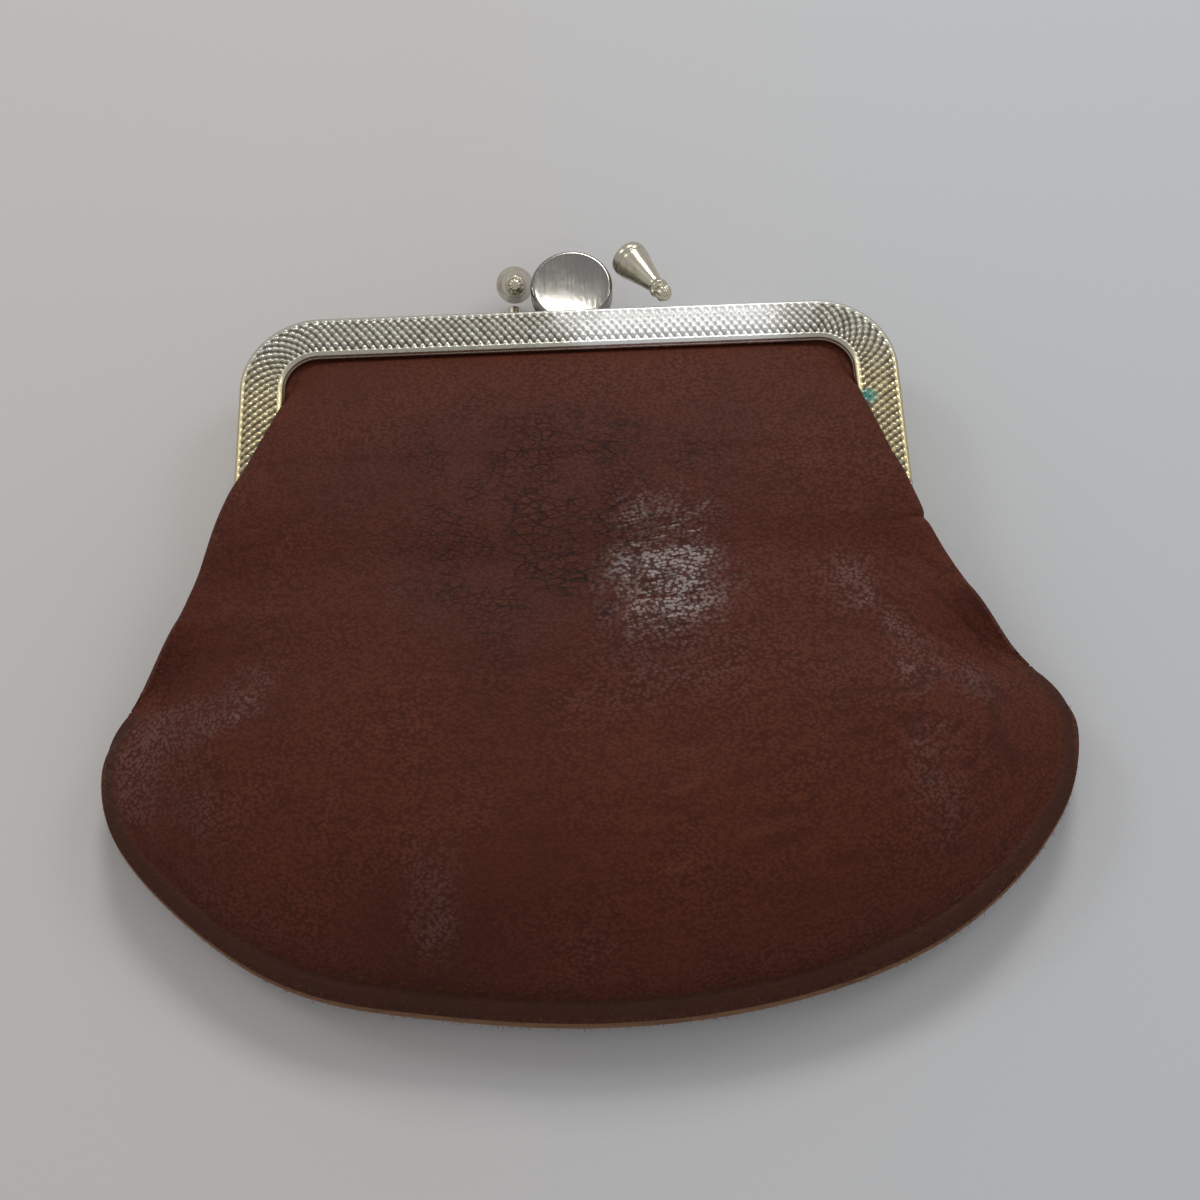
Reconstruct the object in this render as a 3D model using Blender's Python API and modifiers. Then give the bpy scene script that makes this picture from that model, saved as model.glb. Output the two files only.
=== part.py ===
"""Double kiss lock coin purse, lying on its back, modelled as the pieces that it is put together from.

+X runs along the hinge, +Y from the hinge to the lock knobs and +Z up through the front of the
purse. The origin lies on the resting plane, straight under the middle of the hinge axis.
"""

import math

import bmesh
import bpy
from mathutils import Vector

# Frame set: three nested U-shaped channels that share one hinge line
FRAME_WIDTH = 0.0880
FRAME_HEIGHT = 0.0310
FRAME_FACE = 0.0061
FRAME_CORNER_RADIUS = 0.0105
END_FRAME_DEPTH = 0.0036
MIDDLE_FRAME_DEPTH = 0.0024
FRAME_WALL = 0.0005
FRAME_DOME = 0.0010
DOME_POWER = 3
RUNNING_GAP = 0.0003
SEAT_GAP = 0.0003
LEG_END = 0.0035

# Hinge: an ear on each leg and a rivet through the three ears of a side
EAR_RADIUS = 0.0022
EAR_THICKNESS = 0.0008
EAR_OVERLAP = 0.0003
RIVET_RADIUS = 0.0010
RIVET_HEAD_RADIUS = 0.0019
RIVET_HEAD_HEIGHT = 0.0009
RIVET_TAIL_RADIUS = 0.0016
RIVET_TAIL_HEIGHT = 0.0008

# Lock: a flat disc on the middle frame between two cone knobs
DISC_X = 0.0007
DISC_RADIUS = 0.0057
DISC_THICKNESS = 0.0030
DISC_EDGE = 0.0006
DISC_RISE = 0.0056
CONE_LENGTH = 0.0080
CONE_WIDE_RADIUS = 0.0026
CONE_CAP_RADIUS = 0.0020
CONE_CAP_RISE = 0.0006
CONE_SHOULDER = 0.0016
CONE_NARROW_RADIUS = 0.0010
COLLAR_RADIUS = 0.00135
COLLAR_LENGTH = 0.0005
TIP_RADIUS = 0.0012
TIP_FLUTE = 0.00012
TIP_FLUTES = 9
FRONT_TIP_X = 0.0132
FRONT_TIP_GAP = 0.0007
FRONT_TIP_DROP = 0.0006
FRONT_CONE_LEAN = (0.0048, -0.0079, 0.0025)
REAR_CONE_X = -0.0075
REAR_CONE_RISE = 0.0098
REAR_CONE_HEIGHT = 0.0032
REAR_CONE_LEAN = (0.0005, -0.0055, 0.0084)
REAR_POST_RADIUS = 0.0010

# Leather, lining and the paper cord that wedges the leather in its channel
LEATHER = 0.0010
DIVIDER_LEATHER = 0.0008
LINING = 0.0004
CORD_RADIUS = 0.00040

# Purse body in plan: a half ellipse below its widest place, rounded corners and straight side folds above
BODY_HALF_WIDTH = 0.0611
BODY_WIDEST_DROP = 0.0295
BODY_BOTTOM_REACH = 0.0333
KINK_HALF_WIDTH = 0.0562
KINK_DROP = 0.0218
FOLD_TOP_HALF_WIDTH = 0.0456
SEAM_MARGIN = 0.0035
FLANGE_SHOW = 0.0017
FLANGE_LENGTH = 0.0145

# Purse body in height
BACK_BULGE = 0.0025
FRONT_CREST = 0.0200
DIVIDER_CREST = 0.0090
SEAM_HEIGHT = 0.0064
HINGE_CREST = 0.0164
SEAM_SAG = 0.0008

# Soft swells and one hollow of the worn front leather: place, reach along X and Y, and rise
FRONT_SWELLS = (
    (0.0120, -0.0090, 0.0110, 0.0090, 0.0007), (0.0000, 0.0050, 0.0100, 0.0070, -0.0003),
    (-0.0240, -0.0140, 0.0070, 0.0140, 0.0005), (-0.0180, -0.0480, 0.0080, 0.0090, 0.0005),
    (-0.0460, -0.0270, 0.0110, 0.0060, 0.0007), (0.0400, -0.0230, 0.0070, 0.0090, 0.0007),
    (0.0410, -0.0410, 0.0080, 0.0090, 0.0006),
)

# Where the leather bends when the purse opens, from the hinge axis
PANEL_FREE_EDGE = 0.0080
POUCH_EDGE = 0.0120
DIVIDER_EDGE = 0.0042

# Front leather beside and over the frame's legs, and its turned-in side edge
LIP_OVERHANG = 0.0043
OVERHANG_END_DROP = 0.0059
OVERHANG_GONE_DROP = 0.0021
FOLD_LIFT = 0.0016
FOLD_BULGE = 0.0004
TURNED_EDGE = 0.0040
TURNED_EDGE_END = 0.0003

# Rear leather behind the legs
BAR_CLIMB = 0.0080
LEG_CLIMB = 0.0026
LEG_CLEAR_HEIGHT = 0.0013

# Side gussets
GUSSET_LEATHER = 0.0006
GUSSET_TOP = 0.0030
GUSSET_END = 0.0094
GUSSET_IN = 0.0015
GUSSET_DEPTH = 0.0080
GUSSET_CLEAR = 0.0005
GUSSET_ROOM = 0.0022

# Heights that follow
HINGE_HEIGHT = (BACK_BULGE + END_FRAME_DEPTH + RUNNING_GAP + MIDDLE_FRAME_DEPTH / 2)
FRONT_MATE = HINGE_HEIGHT + MIDDLE_FRAME_DEPTH / 2 + RUNNING_GAP
FRONT_FACE = FRONT_MATE + END_FRAME_DEPTH
REAR_MATE = HINGE_HEIGHT - MIDDLE_FRAME_DEPTH / 2 - RUNNING_GAP

# Plan places that follow
LEG_CENTRE = FRAME_WIDTH / 2 - FRAME_FACE / 2
INNER_X = FRAME_WIDTH / 2 - FRAME_FACE
INNER_Y = FRAME_HEIGHT - FRAME_FACE
SLOT_MOUTH = END_FRAME_DEPTH - FRAME_DOME - 2 * FRAME_WALL
SLOT_LIFT = FRAME_WALL + SLOT_MOUTH / 2
CORD_DEPTH = FRAME_WALL + SEAT_GAP + CORD_RADIUS
SHEET_INSET = CORD_DEPTH + CORD_RADIUS + SEAT_GAP
SHEET_TOP = FRAME_HEIGHT - SHEET_INSET
CLEAR = SEAT_GAP + LEATHER / 2
FRONT_SLOT = FRONT_MATE + SLOT_LIFT
REAR_SLOT = REAR_MATE - SLOT_LIFT
LIP_REACH = CLEAR + FRAME_WALL
OVERHANG_END = INNER_Y - OVERHANG_END_DROP
OVERHANG_GONE = INNER_Y - OVERHANG_GONE_DROP
STACK_PANEL = DIVIDER_LEATHER / 2 + SEAT_GAP + LINING + SEAT_GAP + LEATHER / 2

# Shares of the body's width or length, and the powers that shape its swell
SEAM_SHARE = 1 - SEAM_MARGIN / BODY_HALF_WIDTH
SWELL_POWER = 3
REAR_FLATNESS = 1.7

# Steps round curves, and the columns and rows of the sheets
ARC_STEPS = 8
DOME_STEPS = 6
TURN_STEPS = 20
UPPER_COLUMNS = 28
UPPER_ROWS = 9
LOWER_COLUMNS = 26
FOLD_COLUMNS = 3
LOWER_ROWS = 9
THROAT_COLUMNS = 24
THROAT_ROWS = 6
REAR_COLUMNS = 26
REAR_HELD_COLUMNS = 5
REAR_ROWS = 20
REAR_FRAME_ROWS = 6
REAR_THROAT_ROWS = 6
DIVIDER_TOP_COLUMNS = 10
DIVIDER_COLUMNS = 24
DIVIDER_ROWS = 8
GUSSET_COLUMNS = 10
GUSSET_ROWS = 4
NEAR_SHARE = 0.0001
FOLD_SHARE = 1 - 2 * FOLD_COLUMNS / LOWER_COLUMNS
REAR_INNER_SHARE = 1 - 2 * REAR_HELD_COLUMNS / REAR_COLUMNS
REAR_FRAME_SHARE = REAR_FRAME_ROWS / REAR_ROWS
REAR_POUCH_SHARE = (REAR_FRAME_ROWS + REAR_THROAT_ROWS) / REAR_ROWS
REAR_PLATEAU_SHARE = 0.8


def start_clean():
    """Empties the scene and makes one collection for the purse and one for its cutters."""
    for thing in list(bpy.data.objects):
        bpy.data.objects.remove(thing, do_unlink=True)
    groups = {}
    for name in ("coin_purse", "cutters"):
        groups[name] = bpy.data.collections.new(name)
        bpy.context.scene.collection.children.link(groups[name])
    return groups


GROUPS = start_clean()


def finish(name, colour, roughness, metallic):
    """A plain surface of one colour."""
    material = bpy.data.materials.new(name)
    material.use_nodes = True
    shader = material.node_tree.nodes["Principled BSDF"]
    shader.inputs["Base Color"].default_value = (*colour, 1.0)
    shader.inputs["Roughness"].default_value = roughness
    shader.inputs["Metallic"].default_value = metallic
    return material


PLATED_METAL = ((0.68, 0.66, 0.58), 0.28, 1.0)
DISC_METAL = ((0.52, 0.51, 0.48), 0.35, 1.0)
CONE_METAL = ((0.62, 0.58, 0.48), 0.25, 1.0)
LEATHER_FINISH = ((0.075, 0.026, 0.018), 0.45, 0.0)
DIVIDER_FINISH = ((0.090, 0.034, 0.022), 0.60, 0.0)
LINING_FINISH = ((0.230, 0.120, 0.060), 0.90, 0.0)
CORD_FINISH = ((0.480, 0.380, 0.250), 0.95, 0.0)


def place(name, data, surface, group="coin_purse"):
    """Links an object that holds the data and gives it a surface of its own."""
    thing = bpy.data.objects.new(name, data)
    GROUPS[group].objects.link(thing)
    if group == "cutters":
        thing.hide_render = True
        thing.display_type = "WIRE"
    else:
        data.materials.append(finish(name, *surface))
    return thing


def poly_curve(name, points, cyclic=False, flat=True):
    """A curve object along straight steps between points."""
    data = bpy.data.curves.new(name, "CURVE")
    data.dimensions = "2D" if flat else "3D"
    spline = data.splines.new("POLY")
    spline.points.add(len(points) - 1)
    for knot, point in zip(spline.points, points):
        knot.co = (*Vector(point).to_3d(), 1)
    spline.use_cyclic_u = cyclic
    return data


def meshed(curve_object, group="coin_purse"):
    """Turns a curve object into a closed mesh object of the same name and place."""
    bpy.context.view_layer.update()
    graph = bpy.context.evaluated_depsgraph_get()
    mesh = bpy.data.meshes.new_from_object(curve_object.evaluated_get(graph))
    shape = bmesh.new()
    shape.from_mesh(mesh)
    bmesh.ops.remove_doubles(shape, verts=shape.verts, dist=RUNNING_GAP / 100)
    shape.to_mesh(mesh)
    shape.free()
    name = curve_object.name
    matrix = curve_object.matrix_world.copy()
    bpy.data.objects.remove(curve_object, do_unlink=True)
    thing = bpy.data.objects.new(name, mesh)
    thing.matrix_world = matrix
    GROUPS[group].objects.link(thing)
    return thing


def combine(thing, other, operation):
    """Joins or cuts a solid with another one."""
    step = thing.modifiers.new(operation.title() + "_" + other.name, "BOOLEAN")
    step.operation = operation
    step.solver = "EXACT"
    step.object = other


def u_path(inset, leg_end):
    """Points of a U that runs inside the frame's outer edge, from the left leg's end to the right's."""
    half = FRAME_WIDTH / 2 - inset
    top = FRAME_HEIGHT - inset
    radius = FRAME_CORNER_RADIUS - inset
    points = [(-half, leg_end)]
    for side, first in ((-1, math.pi), (1, math.pi / 2)):
        for step in range(ARC_STEPS + 1):
            angle = first - step * math.pi / 2 / ARC_STEPS
            points.append((side * (half - radius) + radius * math.cos(angle),
                           top - radius + radius * math.sin(angle)))
    points.append((half, leg_end))
    return points


def channel_section(domed):
    """Outline of a channel that opens to +X, its mating side down, centred on its face width."""
    edge = FRAME_FACE / 2
    depth = END_FRAME_DEPTH if domed else MIDDLE_FRAME_DEPTH
    dome = FRAME_DOME if domed else 0.0
    steps = DOME_STEPS if domed else 1
    hollow = edge - FRAME_WALL
    shares = [2 * step / steps - 1 for step in range(steps + 1)]
    outside = [(share * edge, depth - dome * abs(share) ** DOME_POWER) for share in shares]
    inside = [(edge if share == 1 else share * hollow, depth - FRAME_WALL - dome * abs(share) ** DOME_POWER)
              for share in reversed(shares)]
    return [(-edge, 0)] + outside + inside + [(-hollow, FRAME_WALL), (edge, FRAME_WALL), (edge, 0)]


def frame_channel(name, domed):
    """A U-shaped channel swept round the frame's path, with its mating side at height zero."""
    section = poly_curve(name + "_section", channel_section(domed), cyclic=True)
    guide = place(name + "_section", section, None, group="cutters")
    data = poly_curve(name, u_path(FRAME_FACE / 2, LEG_END))
    data.fill_mode = "NONE"
    data.bevel_mode = "OBJECT"
    data.bevel_object = guide
    data.use_fill_caps = True
    sweep = bpy.data.objects.new(name, data)
    GROUPS["coin_purse"].objects.link(sweep)
    frame = meshed(sweep)
    bpy.data.objects.remove(guide, do_unlink=True)
    return frame


def ear(name, side, outer_x, low, high, reach):
    """A hinge ear: the hull of a disc on the hinge axis and the strip where it joins its leg."""
    shape = bmesh.new()
    half = EAR_THICKNESS / 2
    for x in (-half, half):
        rim = bmesh.ops.create_circle(shape, segments=TURN_STEPS, radius=EAR_RADIUS)
        for vert in rim["verts"]:
            vert.co = (x, vert.co.x, vert.co.y + HINGE_HEIGHT)
        for y in (LEG_END - EAR_OVERLAP, LEG_END + reach):
            for z in (low, high):
                shape.verts.new((x, y, z))
    hull = bmesh.ops.convex_hull(shape, input=shape.verts)
    spare = [item for item in hull["geom_interior"] if isinstance(item, bmesh.types.BMVert)]
    bmesh.ops.delete(shape, geom=spare, context="VERTS")
    bmesh.ops.translate(shape, verts=shape.verts, vec=(side * (outer_x - half), 0, 0))
    bmesh.ops.recalc_face_normals(shape, faces=shape.faces)
    mesh = bpy.data.meshes.new(name)
    shape.to_mesh(mesh)
    shape.free()
    return place(name, mesh, None, group="cutters")


def rivet_hole(name, side):
    """The hole through one side's ears, as a cutter."""
    shape = bmesh.new()
    bmesh.ops.create_cone(shape, segments=TURN_STEPS, radius1=RIVET_RADIUS + RUNNING_GAP,
                          radius2=RIVET_RADIUS + RUNNING_GAP, depth=2 * FRAME_FACE, cap_ends=True)
    for vert in shape.verts:
        vert.co = (vert.co.z + side * LEG_CENTRE, vert.co.x, vert.co.y + HINGE_HEIGHT)
    if shape.calc_volume(signed=True) < 0:
        bmesh.ops.reverse_faces(shape, faces=shape.faces)
    mesh = bpy.data.meshes.new(name)
    shape.to_mesh(mesh)
    shape.free()
    return place(name, mesh, None, group="cutters")


def turned(name, profile, surface, group="coin_purse"):
    """A solid turned about Z from (radius, height) points, which run down its outer side."""
    mesh = bpy.data.meshes.new(name)
    points = [(radius, 0, height) for radius, height in profile]
    mesh.from_pydata(points, [(step, step + 1) for step in range(len(points) - 1)], [])
    thing = place(name, mesh, surface, group)
    screw = thing.modifiers.new("Turned", "SCREW")
    screw.steps = TURN_STEPS
    screw.render_steps = TURN_STEPS
    screw.use_merge_vertices = True
    screw.merge_threshold = RUNNING_GAP / 100
    screw.use_smooth_shade = True
    return thing


def smooth(share):
    """Eases from 0 to 1 as the share goes from 0 to 1."""
    share = min(1.0, max(0.0, share))
    return share * share * (3 - 2 * share)


def mix(first, second, share):
    """The value at a share of the way from the first to the second."""
    return first + (second - first) * share


def spline_point(points, share):
    """A point on the clamped uniform cubic B-spline of control points."""
    padded = [points[0]] * 2 + list(points) + [points[-1]] * 2
    spans = len(padded) - 3
    span = min(int(share * spans), spans - 1)
    t = share * spans - span
    weights = ((1 - t) ** 3, 3 * t ** 3 - 6 * t ** 2 + 4, -3 * t ** 3 + 3 * t ** 2 + 3 * t + 1, t ** 3)
    total = Vector((0, 0))
    for weight, point in zip(weights, padded[span:span + 4]):
        total += weight / 6 * Vector(point)
    return total


def mirrored_point(points, across):
    """A point of a half profile and its mirror image; across runs 0 to 1 from left to right."""
    signed = 2 * across - 1
    point = spline_point(points, abs(signed))
    return Vector((math.copysign(point.x, signed), point.y))


def off_surface(surface, distance):
    """The surface at a distance along its normal, upwards when the distance is positive."""
    def moved(across, down):
        along = (surface(min(1, across + NEAR_SHARE), down)
                 - surface(max(0, across - NEAR_SHARE), down))
        back = (surface(across, max(0, down - NEAR_SHARE))
                - surface(across, min(1, down + NEAR_SHARE)))
        normal = along.cross(back).normalized()
        return surface(across, down) + normal * distance

    return moved


def part_of(surface, low_across, high_across, low_down, high_down):
    """The part of a surface between two shares of its width and of its length."""
    def cut(across, down):
        return surface(mix(low_across, high_across, across), mix(low_down, high_down, down))
    return cut


def sheet(name, surface, columns, rows, thickness, look, notch=None):
    """A sheet: a grid bent over surface(across, down), both 0 to 1, given its thickness."""
    shape = bmesh.new()
    unit = 1.0
    bmesh.ops.create_grid(shape, x_segments=columns, y_segments=rows, size=unit / 2)
    for vert in shape.verts:
        vert.co = (vert.co.x + unit / 2, unit / 2 - vert.co.y, 0)
    if notch:
        cut = [face for face in shape.faces if notch(*face.calc_center_median().xy)]
        bmesh.ops.delete(shape, geom=cut, context="FACES")
    for vert in shape.verts:
        vert.co = surface(vert.co.x, vert.co.y)
    bmesh.ops.recalc_face_normals(shape, faces=shape.faces)
    mesh = bpy.data.meshes.new(name)
    shape.to_mesh(mesh)
    shape.free()
    mesh.shade_smooth()
    thing = place(name, mesh, look)
    wall = thing.modifiers.new("Thickness", "SOLIDIFY")
    wall.thickness = thickness
    wall.offset = 0
    wall.use_quality_normals = True
    thing.modifiers.new("Triangles", "TRIANGULATE")
    return thing


def fold_half_width(y):
    """Half the body's width where its side fold runs straight, from beside the leg to the kink."""
    return mix(FOLD_TOP_HALF_WIDTH, KINK_HALF_WIDTH, -y / KINK_DROP)


def corner_half_width(y):
    """Half the body's width round its lower corner, a parabola from the widest place to the kink."""
    share = (y + BODY_WIDEST_DROP) / (BODY_WIDEST_DROP - KINK_DROP)
    return mix(BODY_HALF_WIDTH, KINK_HALF_WIDTH, share ** 2)


def edge_share(x, y):
    """How far a plan point lies out towards the body's edge, 1 on the edge itself."""
    if y < -BODY_WIDEST_DROP:
        return math.hypot(x / BODY_HALF_WIDTH, (y + BODY_WIDEST_DROP) / BODY_BOTTOM_REACH)
    if y < -KINK_DROP:
        return abs(x) / corner_half_width(y)
    return abs(x) / fold_half_width(y)


def puff(x, y):
    """1 in the middle of the body and 0 from the seam's stitch line outwards."""
    return 1 - min(1.0, edge_share(x, y) / SEAM_SHARE) ** SWELL_POWER


def edge_level(y):
    """Mid height of the layers at the body's edge, level with the hinge beside it."""
    return mix(HINGE_HEIGHT, SEAM_HEIGHT, smooth(-y / KINK_DROP))


def open_share(y):
    """1 where the body's side is an open fold, down to 0 at the kink, where the seam starts."""
    return smooth((y + KINK_DROP) / (KINK_DROP - POUCH_EDGE))


def fold_lift(y):
    """How far the front panel's edge stands above its turned-in edge."""
    return FOLD_LIFT * open_share(y)


def turned_edge_height(y):
    """Mid height of the front panel's turned-in edge, which leaves room for the gusset under it."""
    return edge_level(y) + STACK_PANEL + GUSSET_ROOM * open_share(y)


def seam_sag(x, y):
    """How far the seam's layers hang at a place between the stitch line and the body's edge."""
    past_stitches = smooth((edge_share(x, y) - SEAM_SHARE) / (1 - SEAM_SHARE))
    return SEAM_SAG * past_stitches * (1 - open_share(y))


def front_swell(x, y):
    """How far the worn front leather stands off its even shape, in a few broad swells."""
    return sum(rise * math.exp(-((x - swell_x) / reach_x) ** 2 - ((y - swell_y) / reach_y) ** 2)
               for swell_x, swell_y, reach_x, reach_y, rise in FRONT_SWELLS)


def front_height(x, y):
    """Mid height of the front panel over the pouch."""
    low = turned_edge_height(y) + fold_lift(y)
    crest = mix(HINGE_CREST, FRONT_CREST, smooth(-y / KINK_DROP)) - LEATHER / 2
    return mix(low, crest, puff(x, y)) + front_swell(x, y) * min(1.0, 2 * puff(x, y)) - seam_sag(x, y)


def rear_rim_height(y):
    """Mid height of the rear panel's side edge on the pouch, which leaves room for the gusset over it."""
    return edge_level(y) - STACK_PANEL - GUSSET_ROOM * open_share(y)


def rear_height(x, y):
    """Mid height of the rear panel under the pouch, flat where the purse rests on it."""
    return mix(rear_rim_height(y), LEATHER / 2, min(1.0, REAR_FLATNESS * puff(x, y))) - seam_sag(x, y)


def divider_height(x, y):
    """Mid height of the divider, level with the middle frame at the hinge."""
    crest = mix(HINGE_HEIGHT, DIVIDER_CREST, smooth(-y / KINK_DROP))
    return mix(edge_level(y), crest, puff(x, y)) - seam_sag(x, y)


def edge_point(across):
    """A point of the body's edge, from the left kink round the bottom to the right one."""
    start_angle = math.asin((BODY_WIDEST_DROP - KINK_DROP) / BODY_BOTTOM_REACH)
    angle = mix(math.pi - start_angle, 2 * math.pi + start_angle, across)
    y = -BODY_WIDEST_DROP + BODY_BOTTOM_REACH * math.sin(angle)
    if y > -BODY_WIDEST_DROP:
        return math.copysign(corner_half_width(y), across - 0.5), y
    return BODY_HALF_WIDTH * math.cos(angle), y


def pouch_point(across, down, top_y, top_half, height, show=0.0):
    """A point of the pouch: columns fan out from a straight top edge to the body's edge.

    show is how far the layer under it shows beside its lower corner.
    """
    edge_x, edge_y = edge_point(across)
    past_kink = min(1.0, max(0.0, (-KINK_DROP - edge_y) / FLANGE_LENGTH))
    edge_x -= math.copysign(4 * show * past_kink * (1 - past_kink), edge_x)
    x = mix((2 * across - 1) * top_half, edge_x, down)
    y = mix(top_y, edge_y, down)
    return Vector((x, y, height(x, y)))


def slot_half_width(y, inset):
    """Half the width of a U that lies inset from the frame's outer edge, at one height of it."""
    half = FRAME_WIDTH / 2 - inset
    radius = FRAME_CORNER_RADIUS - inset
    rise = max(0.0, y - (FRAME_HEIGHT - FRAME_CORNER_RADIUS))
    return half - radius + math.sqrt(max(0.0, radius ** 2 - rise ** 2))


def face_height(x):
    """Height of the front frame's domed leg face at a place across it."""
    share = (x - LEG_CENTRE) / (FRAME_FACE / 2)
    return FRONT_FACE - FRAME_DOME * abs(share) ** DOME_POWER


def upper_front_profile(y):
    """Half profile of the front panel inside its frame: belly, overhang on the leg, lip, slot."""
    lip_x = slot_half_width(min(y, INNER_Y), FRAME_FACE)
    end_x = slot_half_width(y, SHEET_INSET)
    fall = smooth((y - PANEL_FREE_EDGE) / (INNER_Y - PANEL_FREE_EDGE))
    crest = mix(HINGE_CREST - LEATHER / 2, FRONT_SLOT, fall)
    rise = crest - FRONT_SLOT
    over = LIP_OVERHANG * (1 - smooth((y - PANEL_FREE_EDGE) / (OVERHANG_END - PANEL_FREE_EDGE)))
    bulge_x = lip_x + over
    over_z = face_height(min(bulge_x, LEG_CENTRE)) + CLEAR
    lip_z = FRONT_FACE - FRAME_DOME - FRAME_WALL / 2
    top = max(crest - over_z, LEATHER)
    hanging = [
        (0, over_z + top), (0.25 * bulge_x, over_z + top), (0.5 * bulge_x, over_z + top),
        (0.75 * bulge_x, over_z + 0.95 * top), (0.93 * bulge_x, over_z + 0.85 * top),
        (bulge_x + CLEAR / 2, over_z + 0.55 * top),
        (bulge_x, over_z), (mix(lip_x, bulge_x, 0.5), over_z),
        (lip_x - SEAT_GAP, lip_z + 1.25 * LIP_REACH), (lip_x - 1.35 * LIP_REACH, lip_z),
        (lip_x - SEAT_GAP, FRONT_SLOT), (lip_x + LEATHER, FRONT_SLOT), (end_x, FRONT_SLOT),
    ]
    near = lip_x - 1.2 * LIP_REACH
    plain = [
        (0, crest), (0.25 * near, crest), (0.5 * near, crest), (0.68 * near, crest - 0.05 * rise),
        (0.82 * near, crest - 0.2 * rise), (0.90 * near, crest - 0.4 * rise),
        (0.96 * near, crest - 0.6 * rise), (near, crest - 0.8 * rise),
        (near + 0.15 * LIP_REACH, FRONT_SLOT + 0.1 * rise), (near + 0.4 * LIP_REACH, FRONT_SLOT),
        (lip_x - SEAT_GAP, FRONT_SLOT), (lip_x + LEATHER, FRONT_SLOT), (end_x, FRONT_SLOT),
    ]
    share = smooth((y - OVERHANG_END) / (OVERHANG_GONE - OVERHANG_END))
    return [Vector(a).lerp(Vector(b), share) for a, b in zip(hanging, plain)]


def upper_front(across, down):
    y = mix(SHEET_TOP, PANEL_FREE_EDGE, down)
    point = mirrored_point(upper_front_profile(y), across)
    return Vector((point.x, y, point.y + front_swell(point.x, y)))


def throat_front_profile(y):
    """Half profile of the front panel beside the hinge: belly, side fold and its turned-in edge."""
    down = (PANEL_FREE_EDGE - y) / (PANEL_FREE_EDGE + POUCH_EDGE)
    crest = mix(HINGE_CREST - LEATHER / 2, front_height(0, -POUCH_EDGE), smooth(down))
    edge_x = mix(INNER_X + LIP_OVERHANG, fold_half_width(-POUCH_EDGE), down)
    past_leg = smooth((LEG_END + CLEAR - y) / (LEG_END + POUCH_EDGE))
    under = mix(FRONT_FACE + CLEAR, turned_edge_height(-POUCH_EDGE), past_leg)
    edge_z = under + FOLD_LIFT
    top = crest - edge_z
    return [
        (0, crest), (0.25 * edge_x, crest), (0.50 * edge_x, edge_z + mix(1.0, 0.92, down) * top),
        (0.70 * edge_x, edge_z + mix(0.98, 0.70, down) * top),
        (0.84 * edge_x, edge_z + mix(0.90, 0.36, down) * top),
        (0.94 * edge_x, edge_z + mix(0.60, 0.08, down) * top),
        (edge_x, edge_z + mix(0.20, 0.0, down) * top), (edge_x + FOLD_BULGE, under + FOLD_LIFT / 2),
        (edge_x, under), (edge_x - TURNED_EDGE / 2, under), (edge_x - TURNED_EDGE, under),
    ]


def throat_front(across, down):
    y = mix(PANEL_FREE_EDGE - SEAT_GAP, -POUCH_EDGE + SEAT_GAP, down)
    point = mirrored_point(throat_front_profile(y), across)
    return Vector((point.x, y, point.y + front_swell(point.x, y)))


def lower_front(across, down):
    """The front panel over the pouch; its outer columns are the edge turned in down to the kink."""
    signed = 2 * across - 1
    reach = abs(signed) / FOLD_SHARE
    inner = (1 + math.copysign(min(1.0, reach), signed)) / 2
    point = pouch_point(inner, down, -POUCH_EDGE, fold_half_width(-POUCH_EDGE), front_height, FLANGE_SHOW)
    if reach <= 1:
        return point
    turn = (reach - 1) / (1 / FOLD_SHARE - 1)
    lift = max(fold_lift(point.y), TURNED_EDGE_END)
    width = mix(TURNED_EDGE, TURNED_EDGE_END, down)
    way = [(0, 0), (FOLD_BULGE * lift / FOLD_LIFT, -lift / 2), (0, -lift), (-width, -lift)]
    step = min(2, int(turn * FOLD_COLUMNS + RUNNING_GAP))
    out, drop = Vector(way[step]).lerp(Vector(way[step + 1]), turn * FOLD_COLUMNS - step)
    return point + Vector((math.copysign(out, signed * out) if out else 0, 0, drop))


def rear_edge_height(y):
    """Mid height of the rear panel's side edge, low under the leg's end and up again past it."""
    under_leg = mix(LEG_CLIMB, LEG_CLEAR_HEIGHT, smooth((PANEL_FREE_EDGE - y) / BACK_BULGE))
    past_leg = smooth((FRAME_WALL - y) / POUCH_EDGE)
    return mix(under_leg, rear_rim_height(y), past_leg)


def rear_inner_half_width(y):
    """Half width of the rear panel's free part: inside the legs, then out to the side fold."""
    inside = slot_half_width(min(y, INNER_Y), FRAME_FACE) - LIP_REACH - SEAT_GAP
    if y >= PANEL_FREE_EDGE:
        return inside
    if y > 0:
        return mix(fold_half_width(0), inside, y / PANEL_FREE_EDGE)
    return fold_half_width(y)


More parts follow.
